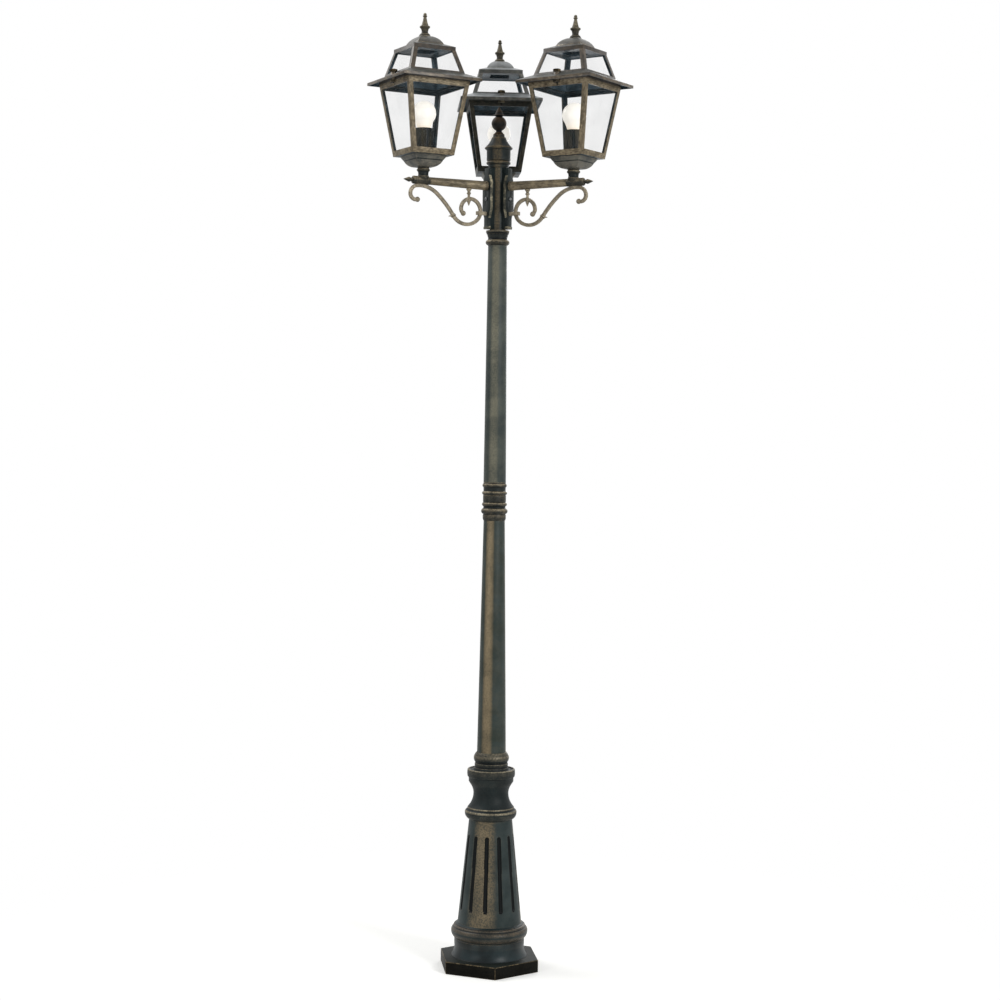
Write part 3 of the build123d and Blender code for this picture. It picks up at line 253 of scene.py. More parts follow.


# lacquered cast aluminium, by how much paste each piece was given, with the painted highlights, sheen and
# shade that some carry
rubbedFinishes = {
    # the pole: broad pale painted highlight stripes up a green-black ground, partly paste strokes
    "post": ("rubbedLacquerPost", {
        "ground": "27322f", "groundLight": "333f3f", "umber": "504839", "gold": "8f8065", "all": 0.02,
        "highlightBand": 0.62, "highlightAt": -112, "highlightFrom": 0.15, "speckMm": 3, "contrast": (0.5, 1.15)}),
    "upperPost": ("rubbedLacquerUpperPost", {
        "ground": "2f393a", "groundLight": "3e4847", "umber": "525249", "gold": "858270", "all": 0.05,
        "highlightBand": 0.42, "highlightAt": -100, "highlightFrom": 0.0, "speckMm": 3, "contrast": (0.5, 1.2)}),
    "pedestal": ("rubbedLacquerPedestal", {
        "ground": "212c2d", "groundLight": "2f3a3b", "umber": "4a4236", "gold": "82755d", "all": 0.02,
        "onEdges": 0.05, "highlightBand": 0.5, "highlightAt": -106, "highlightFrom": -0.2}),
    # turned castings: nearly black, with a pale line on each bead and a pale belly on the low ring, partly
    # paste and partly painted highlight
    "turned": ("rubbedLacquerTurned", {
        "ground": "121a1b", "groundLight": "1f2829", "gold": "a89c82", "all": 0.02, "onEdges": 0.12,
        "crown": 0.5}),
    "cup": ("rubbedLacquerCup", {
        "ground": "0c1618", "groundLight": "172224", "gold": "b3a98f", "all": 0.01, "onEdges": 0.08,
        "crown": 0.42, "shine": 0.14, "roughness": 0.5}),
    "lowRing": ("rubbedLacquerLowRing", {
        "ground": "0f1c1e", "groundLight": "1d2a2c", "umber": "37352e", "gold": "8a7660", "all": 0.0,
        "onEdges": 0.04, "crown": 0.25, "below": 0.4, "shine": 0.16, "roughness": 0.4}),
    # the foot: almost black, brown gold on its edges, lighter on top with a painted sky sheen
    "foot": ("rubbedLacquerFoot", {
        "ground": "020404", "groundLight": "070b0c", "umber": "2a241c", "gold": "857458", "skySheenColour": "2f3634",
        "all": 0.02, "onEdges": 0.55, "above": 0.4, "shine": 0.04}),
    "drum": ("rubbedLacquerDrum", {
        "ground": "0b1416", "groundLight": "233033", "all": 0.01, "onEdges": 0.1, "patchMm": 60,
        "shine": 0.18, "roughness": 0.36}),
    # under the lantern: the paste is spread thin all over
    "bowl": ("rubbedBowl", {
        "ground": "31393b", "groundLight": "64665f", "umber": "5c574e", "gold": "9a9080", "all": 0.14,
        "onEdges": 0.45, "crown": 0.2, "patchMm": 34}),
    # lantern frames outside: more paste than ground, drawn out along each bar
    "cageOut": ("goldRubbedCage", {
        "ground": "101210", "groundLight": "25231c", "umber": "4e4133", "gold": "b5a688", "all": 0.46,
        "onEdges": -0.5, "patchMm": 16, "speckMm": 1.5, "brushMm": 12, "streak": 0.16,
        "contrast": (0.1, 1.35)}),
    # the back lantern's cage: the same frame in a darker copy, painted shade
    "shadedBackCage": ("shadedCopyOfCage", {
        "ground": "0b1112", "groundLight": "161d1d", "umber": "24241f", "gold": "8f836a", "all": 0.03,
        "onEdges": 0.7, "patchMm": 22, "speckMm": 1.5, "brushMm": 12, "streak": 0.16,
        "contrast": (0.0, 1.5)}),
    # roofs: brown, with a painted silvery sky sheen on what faces up
    "roofOut": ("rubbedRoof", {
        "ground": "171513", "groundLight": "33291f", "umber": "463a30", "gold": "a19279", "skySheenColour": "868c8a",
        "all": 0.06, "onEdges": 0.7, "above": 0.32, "patchMm": 14, "speckMm": 1.5, "streak": 0.2,
        "contrast": (0.1, 1.4), "shine": 0.35, "roughness": 0.36}),
    # the back lantern's roof: the same roof with a stronger painted sky sheen
    "sheenedBackRoof": ("sheenedCopyOfRoof", {
        "ground": "161a1b", "groundLight": "2c302f", "umber": "45443d", "gold": "a7a294", "skySheenColour": "c9ced1",
        "all": 0.1, "onEdges": 0.6, "above": 0.55, "patchMm": 24, "speckMm": 2.8, "streak": 0.28,
        "shine": 0.35, "roughness": 0.36}),
    # the inside and every downward face, which the cloth hardly reached: plain bluish lacquer, partly painted
    # shade, lighter under the roof
    "shade": ("shadedBarelyRubbedInside", {
        "ground": "0d181c", "groundLight": "2b3f48", "all": 0.01, "onEdges": 0.12, "patchMm": 40}),
    "roofShade": ("shadedBarelyRubbedRoofInside", {
        "ground": "1c2d35", "groundLight": "4d606c", "all": 0.01, "onEdges": 0.1, "patchMm": 40}),
    # arms, hub, brackets and ornaments
    "arm": ("rubbedLacquerArm", {
        "ground": "1a1d1b", "groundLight": "2b2b26", "umber": "4c4337", "gold": "9f9176", "all": 0.27,
        "onEdges": 0.4, "patchMm": 30, "speckMm": 1.5, "streak": 0.06, "contrast": (0.1, 1.4)}),
    # the hub: a painted highlight stripe up its front, and painted highlights on its bead crowns
    "hub": ("rubbedLacquerHub", {
        "ground": "182123", "groundLight": "263031", "umber": "453c30", "gold": "857558", "all": 0.02,
        "onEdges": 0.12, "crown": 0.35, "highlightBand": 0.26, "highlightAt": -96, "highlightFrom": 0.1}),
    "bracket": ("rubbedBracket", {
        "ground": "10191a", "groundLight": "1d2727", "umber": "4a4539", "gold": "aea68c", "all": 0.01,
        "onEdges": 0.9}),
    "hubFinial": ("rubbedHubFinial", {
        "ground": "0a0f10", "groundLight": "15191a", "umber": "2e241c", "gold": "86694a", "all": 0.0,
        "onEdges": 0.12, "crown": 0.16}),
    "roofFinial": ("rubbedRoofFinial", {
        "ground": "1f201e", "groundLight": "383630", "umber": "4c463b", "gold": "958b74", "all": 0.08,
        "onEdges": 0.25, "crown": 0.4}),
    "scroll": ("goldRubbedScroll", {
        "ground": "3a3832", "groundLight": "565046", "umber": "625a4e", "gold": "b0a48c", "all": 0.4,
        "onEdges": 0.3, "patchMm": 12, "speckMm": 2.0}),
}
# zinc: a bluish satin grey; stainless: warmer grey with a drawn grain; nickel: pale, warm and bright;
# phenolic moulding browned by the bulb's heat and black rubber sheath, both dull
plainFinishes = {
    "zinc": ("zincPlatedSteel", {
        "dark": "8a8f94", "light": "aeb3b6", "patchMm": 9, "roughness": 0.35, "metallic": 0.9}),
    "steel": ("brushedStainlessSteel", {
        "dark": "4a4b4c", "light": "77787a", "patchMm": 4, "roughness": 0.35, "metallic": 0.9,
        "stretch": (1, 1, 8)}),
    "nickel": ("nickelPlatedBrass", {
        "dark": "a7a498", "light": "c4c1b4", "patchMm": 6, "roughness": 0.25, "metallic": 1.0}),
    "phenolic": ("mouldedPhenolic", {
        "dark": "0f1617", "light": "3a3526", "patchMm": 12, "roughness": 0.42, "shine": 0.2,
        "stretch": (1, 1, 0.15)}),
    "sheath": ("rubberSheath", {
        "dark": "0f0f10", "light": "1b1b1c", "patchMm": 8, "roughness": 0.55, "shine": 0.3}),
}
paneLook = {"clear": "4a5254", "dusty": "6a7274", "dustMm": 60, "alpha": 0.035, "dustAlpha": 0.03}
opalLook = {
    "glass": "ece9e2", "neck": "ffd9a0", "body": "fffaf0", "neckZ": 2098, "bodyZ": 2140, "glow": 0.56}
paint = {key: rubbedCasting(*finish) for key, finish in rubbedFinishes.items()}
paint |= {key: plainFinish(*finish) for key, finish in plainFinishes.items()}
paint |= {"glass": floatGlass("floatGlass", paneLook), "opal": opalGlass("litOpalGlass", opalLook)}
print("materials:", len(paint))


# mesh tools; outlines are in mm, meshes in metres
def about(turn, x=0.0, y=0.0, z=0.0):
    return Matrix.Translation((x * mm, y * mm, z * mm)) @ Matrix.Rotation(math.radians(turn), 4, "Z")


def onCircle(radius, angle, centre=(0.0, 0.0)):
    return centre[0] + radius * math.cos(angle), centre[1] + radius * math.sin(angle)


armPlace = {side: about(armTurn[side]) for side in sides}
lanternSpot = {side: onCircle(armReach, math.radians(armTurn[side])) for side in sides}
alongArm = Matrix.Translation((0, 0, levels["arm"] * mm)) @ Matrix.Rotation(math.radians(90), 4, "Y")
onAxis = 0.02  # mm; an outline point nearer to the axis is a pole
# how far a face bends, in radians per mm, where paste starts to catch, where it starts to miss and painted
# shade sets in, and over what more
bends = {"proudFrom": 0.02, "proudSpan": 0.09, "hollowFrom": -0.01, "hollowSpan": 0.10}


def lanternPlace(side, level):
    return about(lanternTurn[side], *lanternSpot[side], level)


def arcPoints(start, end, bow, steps):
    # points of an arc that swells by bow to the right of travel, without its start
    if not bow:
        return [end]
    chord = math.hypot(end[0] - start[0], end[1] - start[1])
    across = ((end[1] - start[1]) / chord, -(end[0] - start[0]) / chord)
    radius = (chord * chord / 4 + bow * bow) / (2 * bow)
    middle = ((start[0] + end[0]) / 2, (start[1] + end[1]) / 2)
    centre = (middle[0] - across[0] * (radius - bow), middle[1] - across[1] * (radius - bow))
    begin = math.atan2(start[1] - centre[1], start[0] - centre[0])
    sweep = math.atan2(end[1] - centre[1], end[0] - centre[0]) - begin
    sweep = sweep % (2 * math.pi) if bow > 0 else -((-sweep) % (2 * math.pi))
    return [onCircle(abs(radius), begin + sweep * k / steps, centre) for k in range(1, steps)] + [end]


def tracedOutline(points, steps):
    traced = []
    for start, end in zip(points, points[1:] + points[:1]):
        traced += arcPoints(start[:2], end[:2], end[2] if len(end) > 2 else 0, steps)
    return traced


def turnedMesh(name, points, sectors, steps, place=None):
    # turns an outline of (radius, height, bow of the stretch to it) round the upright axis
    work = bmesh.new()
    rings = []
    for r, z in tracedOutline(points, steps):
        spots = [onCircle(r * mm, 2 * math.pi * j / sectors) for j in range(sectors)]
        if r < onAxis:
            spots = [(0, 0)]
        rings.append([work.verts.new((x, y, z * mm)) for x, y in spots])
    for low, high in zip(rings, rings[1:] + rings[:1]):
        if len(low) == 1 and len(high) == 1:
            continue
        for j in range(sectors):
            k = (j + 1) % sectors
            corners = [low[j % len(low)], low[k % len(low)], high[k % len(high)], high[j % len(high)]]
            corners = list(dict.fromkeys(corners))
            if len(corners) > 2:
                work.faces.new(corners)
    return meshOf(name, work, place)


def asMesh(name, work):
    mesh = bpy.data.meshes.new(name)
    work.to_mesh(mesh)
    work.free()
    return mesh


def meshOf(name, work, place=None):
    # closes the seams, points the faces outwards, then sets the mesh in its place
    bmesh.ops.remove_doubles(work, verts=work.verts, dist=0.005 * mm)
    bmesh.ops.recalc_face_normals(work, faces=work.faces)
    if place is not None:
        work.transform(place)
    return asMesh(name, work)


def onSeam(vert, seams):
    # where two visual pieces meet without an edge
    return any(abs(vert.co.z - seam * mm) < 1.5 * mm for seam in seams)


def softenEdges(mesh, widthMm, seams, overDegrees=36):
    work = bmesh.new()
    work.from_mesh(mesh)
    sharp = [edge for edge in work.edges if len(edge.link_faces) == 2
             and edge.calc_face_angle(0.0) > math.radians(overDegrees)
             and not all(onSeam(vert, seams) for vert in edge.verts)]
    bmesh.ops.bevel(work, geom=sharp, offset=widthMm * mm, offset_type="OFFSET", segments=2, profile=0.5,
                    clamp_overlap=True, affect="EDGES")
    work.to_mesh(mesh)
    work.free()


def raisedMark(face, seams):
    # how strongly a face bulges, where a rubbing cloth leaves its paste: 1 proud, 0 flat, -1 sunk, which gets
    # no paste and a painted shade
    if seams and any(onSeam(vert, seams) for vert in face.verts):
        return 0.0
    bulge = sum(edge.calc_face_angle_signed(0.0) * edge.calc_length() / 2
                for edge in face.edges if len(edge.link_faces) == 2)
    bend = bulge / max(face.calc_area(), 1e-9) * mm
    if bend > bends["proudFrom"]:
        return min(1.0, (bend - bends["proudFrom"]) / bends["proudSpan"])
    return max(-1.0, min(0.0, (bend - bends["hollowFrom"]) / bends["hollowSpan"]))


def markRaised(mesh, seams):
    work = bmesh.new()
    work.from_mesh(mesh)
    values = [raisedMark(face, seams) for face in work.faces]
    work.free()
    mesh.attributes.new("raised", "FLOAT", "FACE").data.foreach_set("value", values)


def bakedMesh(piece):
    graph = bpy.context.evaluated_depsgraph_get()
    return bpy.data.meshes.new_from_object(piece.evaluated_get(graph))


def markGrain(mesh):
    # a map in metres whose first direction is each face's longest edge
    layer = mesh.uv_layers.new(name="grain")
    for face in mesh.polygons:
        corners = [mesh.vertices[index].co for index in face.vertices]
        edges = [b - a for a, b in zip(corners, corners[1:] + corners[:1])]
        along = max(edges, key=lambda edge: edge.length).normalized()
        if along.z < 0 or (abs(along.z) < 0.01 and along.x < 0):
            along = -along
        across = face.normal.cross(along)
        for loop in face.loop_indices:
            point = mesh.vertices[mesh.loops[loop].vertex_index].co
            layer.data[loop].uv = (point.dot(along), point.dot(across))


def finishPiece(name, mesh, finishes, nodes, body="post", bevelMm=0.0, smoothOver=34,
                seams=(), grain=False):
    piece = bpy.data.objects.new(name, mesh)
    bpy.context.scene.collection.objects.link(piece)
    if bevelMm:
        softenEdges(mesh, bevelMm, seams)
    mesh.polygons.foreach_set("use_smooth", [True] * len(mesh.polygons))
    markRaised(mesh, seams)
    if grain:
        markGrain(mesh)
    mesh.set_sharp_from_angle(angle=math.radians(smoothOver))
    mesh.materials.clear()
    for finish in finishes:
        mesh.materials.append(paint[finish])
    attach(piece, body)
    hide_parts(*nodes)
    return piece


def castCopy(node, cuts=()):
    # a CAD node's faces, merged and cleaned so that its edges can be softened; bars part at the cuts
    work = bmesh.new()
    work.from_mesh(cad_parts[node].data)
    bmesh.ops.remove_doubles(work, verts=work.verts, dist=0.02 * mm)
    for level in cuts:
        bmesh.ops.bisect_plane(work, geom=work.verts[:] + work.edges[:] + work.faces[:], dist=0.01 * mm,
                               plane_co=(0, 0, level * mm), plane_no=(0, 0, 1))
    for face in work.faces:
        face.material_index = sum(face.calc_center_median().z > level * mm for level in cuts)
    bmesh.ops.dissolve_limit(work, angle_limit=math.radians(0.6), verts=work.verts, edges=work.edges,
                             delimit={"MATERIAL"})
    return asMesh(node + "Cast", work)


def sortFaces(mesh, axisPoint):
    # faces that look at the lantern's own axis, or straight down, take the second finish, a painted shade
    for face in mesh.polygons:
        out = Vector((face.center.x - axisPoint[0] * mm, face.center.y - axisPoint[1] * mm, 0))
        away = face.normal.dot(out.normalized()) if out.length > 1e-6 else 0.0
        face.material_index = int(away < -0.05 or face.normal.z < -0.75)


def treeOf(name, sockets):
    tree = bpy.data.node_groups.new(name, "GeometryNodeTree")
    tree.interface.new_socket("Geometry", in_out="INPUT", socket_type="NodeSocketGeometry")
    for label, value in sockets.items():
        kind = "NodeSocketInt" if isinstance(value, int) else "NodeSocketFloat"
        tree.interface.new_socket(label, in_out="INPUT", socket_type=kind).default_value = value
    tree.interface.new_socket("Finish", in_out="INPUT", socket_type="NodeSocketMaterial")
    tree.interface.new_socket("Geometry", in_out="OUTPUT", socket_type="NodeSocketGeometry")
    return tree, addNode(tree, "NodeGroupInput").outputs


def closeTree(tree, enter, geometry):
    # every tree ends in real geometry with its material set
    solid = addNode(tree, "GeometryNodeRealizeInstances", {}, {"Geometry": geometry})
    dressed = addNode(tree, "GeometryNodeSetMaterial", {}, {"Geometry": solid, "Material": enter["Finish"]})
    addNode(tree, "NodeGroupOutput", {}, {"Geometry": dressed})
    return tree


def grow(name, tree, values, startMesh=None):
    # runs a tree with its sizes and gives back a plain mesh
    carrier = bpy.data.objects.new(name, startMesh or bpy.data.meshes.new(name + "Start"))
    bpy.context.scene.collection.objects.link(carrier)
    modifier = carrier.modifiers.new("grow", "NODES")
    modifier.node_group = tree
    for item in tree.interface.items_tree:
        if item.in_out == "INPUT" and item.name in values:
            modifier[item.identifier] = values[item.name]
    carrier.update_tag()
    bpy.context.view_layer.update()
    mesh = bakedMesh(carrier)
    carrier.modifiers.clear()
    bpy.data.objects.remove(carrier)
    return mesh


def joined(name, meshes):
    work = bmesh.new()
    for mesh in meshes:
        work.from_mesh(mesh)
    return asMesh(name, work)


def placedCopy(mesh, place):
    copy = mesh.copy()
    copy.transform(place)
    return copy


# ring tree: small bars set round a circle, for ribs and knurls
def ringTree():
    tree, enter = treeOf("ribsRoundRing", {
        "Count": 28, "Ring Radius": 0.02, "Rib Radius": 0.001, "Rib Height": 0.05, "Foot": 0.0})
    ring = addNode(tree, "GeometryNodeMeshCircle", {"fill_type": "NONE"}, {
        "Vertices": enter["Count"], "Radius": enter["Ring Radius"]})
    bar = addNode(tree, "GeometryNodeMeshCylinder", {"fill_type": "NGON"}, {
        "Vertices": 8, "Side Segments": 1, "Radius": enter["Rib Radius"], "Depth": enter["Rib Height"]})
    halfway = addNode(tree, "ShaderNodeMath", timesAdd, {0: enter["Rib Height"], 1: 0.5, 2: enter["Foot"]})
    lift = addNode(tree, "ShaderNodeCombineXYZ", {}, {"Z": halfway})
    raised = addNode(tree, "GeometryNodeTransform", {}, {"Geometry": bar, "Translation": lift})
    copies = addNode(tree, "GeometryNodeInstanceOnPoints", {}, {"Points": ring, "Instance": raised})
    return closeTree(tree, enter, copies)


ribTree = ringTree()

# flute tree: a tapered drum whose grooves follow one rule all the way round
pedestal = {
    "low": 116.3, "high": 380.5, "rLow": 81.5, "rHigh": 55.0, "flutes": 12, "fluteR": 5.5, "depth": 4.0,
    "fluteLow": 157.0, "fluteHigh": 337.5, "turn": 51.7, "columns": 432, "rows": 90, "wall": 8.0}


def fluteTree():
    tree, enter = treeOf("flutedCone", {
        "Low Radius": 0.08, "High Radius": 0.055, "Low": 0.1, "High": 0.3, "Flutes": 12,
        "Flute Radius": 0.0055, "Depth": 0.004, "Flute Low": 0.13, "Flute High": 0.3, "Turn": 0.0,
        "Columns": 432, "Rows": 84})
    drum = addNode(tree, "GeometryNodeMeshCylinder", {"fill_type": "NONE"}, {
        "Vertices": enter["Columns"], "Side Segments": enter["Rows"], "Radius": 1.0, "Depth": 1.0})
    here = addNode(tree, "ShaderNodeSeparateXYZ", {}, {0: addNode(tree, "GeometryNodeInputPosition")}).outputs
    height, radius = (addNode(tree, "ShaderNodeMapRange", {}, {
        "Value": here["Z"], "From Min": -0.5, "From Max": 0.5, "To Min": enter[low], "To Max": enter[high]})
        for low, high in (("Low", "High"), ("Low Radius", "High Radius")))
    # distance from the nearest flute's middle line, measured round the cone and past the flute's ends
    angle = addNode(tree, "ShaderNodeMath", angleOf, {0: here["Y"], 1: here["X"]})
    turned = addNode(tree, "ShaderNodeMath", minus, {0: angle, 1: enter["Turn"]})
    halfPitch = addNode(tree, "ShaderNodeMath", {"operation": "DIVIDE"}, {0: math.pi, 1: enter["Flutes"]})
    minusHalf = addNode(tree, "ShaderNodeMath", times, {0: halfPitch, 1: -1.0})
    fromMiddle = addNode(tree, "ShaderNodeMath", {"operation": "WRAP"}, {
        0: turned, 1: halfPitch, 2: minusHalf})
    across = addNode(tree, "ShaderNodeMath", times, {0: fromMiddle, 1: radius})
    within = addNode(tree, "ShaderNodeClamp", {}, {
        "Value": height, "Min": enter["Flute Low"], "Max": enter["Flute High"]})
    past = addNode(tree, "ShaderNodeMath", minus, {0: height, 1: within})
    apart = addNode(tree, "ShaderNodeCombineXYZ", {}, {"X": across, "Y": past})
    apartSquared = addNode(tree, "ShaderNodeVectorMath", {"operation": "DOT_PRODUCT"}, {0: apart, 1: apart})
    cutter = enter["Flute Radius"]
    radiusSquared = addNode(tree, "ShaderNodeMath", times, {0: cutter, 1: cutter})
    left = addNode(tree, "ShaderNodeMath", minus, {0: radiusSquared, 1: apartSquared.outputs["Value"]})
    inside = addNode(tree, "ShaderNodeMath", larger, {0: left, 1: 0.0})
    bite = addNode(tree, "ShaderNodeMath", {"operation": "SQRT"}, {0: inside})
    # the cutter's centre stands off the cone, so that a groove is as deep as asked
    standOff = addNode(tree, "ShaderNodeMath", minus, {0: cutter, 1: enter["Depth"]})
    below = addNode(tree, "ShaderNodeMath", minus, {0: bite, 1: standOff})
    sunk = addNode(tree, "ShaderNodeMath", larger, {0: below, 1: 0.0})
    reach = addNode(tree, "ShaderNodeMath", minus, {0: radius, 1: sunk})
    wide = addNode(tree, "ShaderNodeMath", times, {0: here["X"], 1: reach})
    deep = addNode(tree, "ShaderNodeMath", times, {0: here["Y"], 1: reach})
    spot = addNode(tree, "ShaderNodeCombineXYZ", {}, {"X": wide, "Y": deep, "Z": height})
    shaped = addNode(tree, "GeometryNodeSetPosition", {}, {"Geometry": drum, "Position": spot})
    return closeTree(tree, enter, shaped)


def walled(mesh, look):
    # gives the grooved skin an inner wall and closes its two rims
    middle = (look["low"] + look["high"]) / 2 * mm
    work = bmesh.new()
    work.from_mesh(mesh)
    bmesh.ops.recalc_face_normals(work, faces=work.faces)
    outwards = sum(face.normal.xy.dot(face.calc_center_median().xy) for face in work.faces)
    if outwards < 0:
        bmesh.ops.reverse_faces(work, faces=work.faces)
    rims = [edge for edge in work.edges if len(edge.link_faces) == 1]
    ends = []
    for upper in (False, True):
        group = [edge for edge in rims if (edge.verts[0].co.z > middle) == upper]
        made = bmesh.ops.extrude_edge_only(work, edges=group)["geom"]
        verts = [item for item in made if isinstance(item, bmesh.types.BMVert)]
        for vert in verts:
            flat = Vector((vert.co.x, vert.co.y, 0))
            vert.co -= flat.normalized() * look["wall"] * mm
        fresh = set(verts)
        ends += [item for item in made if isinstance(item, bmesh.types.BMEdge)
                 and all(vert in fresh for vert in item.verts)]
    bmesh.ops.bridge_loops(work, edges=ends)
    return meshOf("flutedWall", work)


def makePedestal(look):
    grooved = grow("grooves", fluteTree(), {
        "Low Radius": look["rLow"] * mm, "High Radius": look["rHigh"] * mm, "Low": look["low"] * mm,
        "High": look["high"] * mm, "Flutes": look["flutes"], "Flute Radius": look["fluteR"] * mm,
        "Depth": look["depth"] * mm, "Flute Low": look["fluteLow"] * mm, "Flute High": look["fluteHigh"] * mm,
        "Turn": math.radians(look["turn"]), "Columns": look["columns"], "Rows": look["rows"],
        "Finish": paint["pedestal"]})
    wall = finishPiece("flutedWall", walled(grooved, look), ["pedestal"], ["fluted_pedestal"],
                       smoothOver=24).data
    slope = (look["rHigh"] - look["rLow"]) / (look["high"] - look["low"])
    for face, mark in zip(wall.polygons, wall.attributes["raised"].data):  # no paste in the flutes, and painted shade in them
        coneRadius = look["rLow"] + slope * (face.center.z / mm - look["low"])
        sunk = coneRadius - math.hypot(face.center.x, face.center.y) / mm
        mark.value = -1.0 if 0.5 < sunk < look["depth"] + 1 else max(mark.value, 0.0)
    # the rest of the casting goes round the grooved wall and closes it inside
    rims = turnedMesh("pedestalRims", [
        (81.8, 67), (81.8, 75), (89.3, 75), (89.3, 78), (97.7, 94.5, 2.4), (93.0, 105, 1.6), (91.6, 106),
        (91.6, 107.2), (88.6, 111.6, 1.0), (87.0, 111.8), (87.0, 113), (83.3, 114.8), (81.5, 116.3),
        (73.5, 116.3), (73.5, 67)], 128, 9)
    crown = turnedMesh("pedestalCrown", [
        (47, 380.5), (55.0, 380.5), (56.0, 381), (66.0, 397.5, 3.0), (63.0, 404.5, 1.2), (59.6, 408),
        (59.6, 410.5), (58.6, 412), (44.7, 446, -3.4), (38, 446), (38, 420.5)], 128, 9)
    finishPiece("pedestalFootRings", rims, ["lowRing"], ["fluted_pedestal"], bevelMm=0.7, seams=(116.3,))
    finishPiece("pedestalCrownRings", crown, ["cup"], ["fluted_pedestal"], bevelMm=0.7, seams=(446,))


makePedestal(pedestal)
print("pedestal done")


# turned castings up the post, outlines in mm as (radius, height, bow of the stretch to it)
def bead(r, z, width, height):
    return (r, z - width / 2), (r, z + width / 2, height)


turnedParts = {
    "cup_collar": {"finish": "cup", "seams": (446,), "outline": [
        (37.8, 434), (37.8, 446), (44.7, 446), (50.5, 467, -1.6), (57.0, 477.3), (57.3, 487.5), (60.2, 490),
        (61.2, 497), (60.6, 507), (59.0, 509), (56.2, 509), (55.2, 506.5), (45.0, 506.5), (43.6, 512),
        (42.4, 517, -0.4), (42.4, 523), (41.0, 524.5), (41.0, 527), (43.0, 528.5), *bead(43.2, 537, 14, 1.8),
        (41.6, 547), (38.2, 552), (37.0, 552), (38.3, 474), (6, 474), (6, 462), (32, 462), (32, 434)]},
    "lower_pole": {"finish": "post", "slot": "tube", "outline": [
        (34.1, 474), (38.1, 474), (27.1, 1142.7), (23.1, 1142.7)]},
    "mid_coupling": {"finish": "turned", "outline": [
        (22.9, 1112.7), (22.9, 1142.7), (27.6, 1142.7), (29.5, 1147.7), (29.5, 1156.7),
        *bead(28.2, 1166.9, 15, 5.6), *bead(28.2, 1184.2, 10, 3.6), (29.3, 1190.7), (29.3, 1206.7),
        *bead(28.2, 1212.7, 10, 3.6), *bead(28.4, 1232.2, 10, 2.6), (28.5, 1240), (24.6, 1240), (24.6, 1270),
        (17.5, 1270), (17.5, 1112.7)]},
    "upper_pole": {"finish": "upperPost", "slot": "tube", "outline": [
        (25.0, 1240), (28.5, 1240), (23.9, 1839), (20.4, 1839)]},
    "hub_socket": {"finish": "turned", "outline": [
        (20.2, 1809), (20.2, 1839), (24.2, 1839), *bead(25.1, 1847.2, 13, 5.2), (24.3, 1856), (24.3, 1859),
        (26.0, 1864), (26.4, 1867), (27.6, 1867.6), (29.6, 1872, -0.4), (29.6, 1877), (20.2, 1877),
        (20.2, 1871), (16.5, 1871), (16.5, 1809)]},
    "hub_cap": {"finish": "hub", "outline": [
        (20.2, 2036), (25.2, 2036), (26.0, 2041), (27.0, 2042.5), *bead(27.5, 2047.3, 8, 3.4), (28.6, 2052.5),
        (30.2, 2054.5), (30.2, 2079), (31.2, 2080.5), (35.4, 2083.6), (35.4, 2085), (34.6, 2086.4),
        (18.2, 2110, -1.8), (17.4, 2112), (14.6, 2114, -0.3), (14.4, 2118), (5.3, 2118), (5.3, 2110),
        (9, 2106), (21, 2090), (25.5, 2078), (25.5, 2050), (17, 2046), (17, 2040), (20.2, 2040)]},
    "hub_finial": {"finish": "hubFinial", "outline": [
        (5.2, 2118), (14.4, 2118), (14.0, 2120), (9.4, 2124.5), (7.7, 2129.6, -0.8), (7.7, 2164.4, 11.3),
        (13.6, 2167.4), (12.8, 2169.0), (9.4, 2174.4, -0.5), (6.6, 2179.8), (1.2, 2187.8), (0, 2189, 0.35),
        (0, 2131), (5.2, 2131)]},
}
for node, part in turnedParts.items():
    mesh = turnedMesh(node + "Turned", part["outline"], 96, 8)
    finishPiece(node + "Turned", mesh, [part["finish"]], [node],
                bevelMm=0.5, seams=part.get("seams", ()))
print("post turnings:", len(turnedParts))

# foot, brackets and the other cast shapes keep their CAD form, with softened edges
castParts = {
    "hex_foot": {"finishes": ["foot", "drum"], "bevelMm": 1.4, "drumFrom": 32.5},
    "anchor_plate": {"finishes": ["zinc"], "bevelMm": 0.8, "slot": "zinc_steel"}}
for side in sides:
    castParts["arm_bracket_" + side] = {"finishes": ["bracket"], "bevelMm": 0.9}
for node, part in castParts.items():
    piece = finishPiece(node + "Cast", castCopy(node), part["finishes"], [node],
                        bevelMm=part["bevelMm"])
    if "drumFrom" in part:  # the drum stands on the plate
        for face in piece.data.polygons:
            face.material_index = int(face.center.z > part["drumFrom"] * mm)
print("castings:", len(castParts))

# arms and spears are turned round the arm, stems round the lantern's axis
armTube = {
    "bore": 6.0, "root": (34.0, 44.0), "rootR": 11.9, "startR": 11.4, "endR": 9.4, "teeStart": 198.3,
    "spigotR": 7.8, "boreEnd": 238.0, "tail": 9.5, "tailR": 8.0, "shoulder": 1.5, "grooves": (2.4, 5.4),
    "grooveWidth": 1.4, "grooveDepth": 0.8}
spearOutline = [
    (0, 239), (3, 239), (3, 245), (4.6, 245), (4.2, 246.2), (3.0, 247.2), (5.1, 250.4), (6.2, 254.4),
    (5.2, 258), (0.9, 268.8), (0, 269.7, 0.26)]
sleeveOutline = [(8.0, 198.3), (10, 198.3), (10, 242), (7, 245, 0.9), (3.2, 245), (3.2, 238.5), (8.0, 238.5)]
stemOutline = [
    (4, 1996.5), (12.4, 1996.5), (14.2, 1996.5), (14.2, 1997.5), (13.0, 2005.5, -0.7), (13.6, 2009),
    *bead(14.2, 2013.6, 7.4, 2.3), (14.0, 2018), (15.0, 2019), (15.0, 2020), (6, 2020), (6, 2057), (4, 2057)]
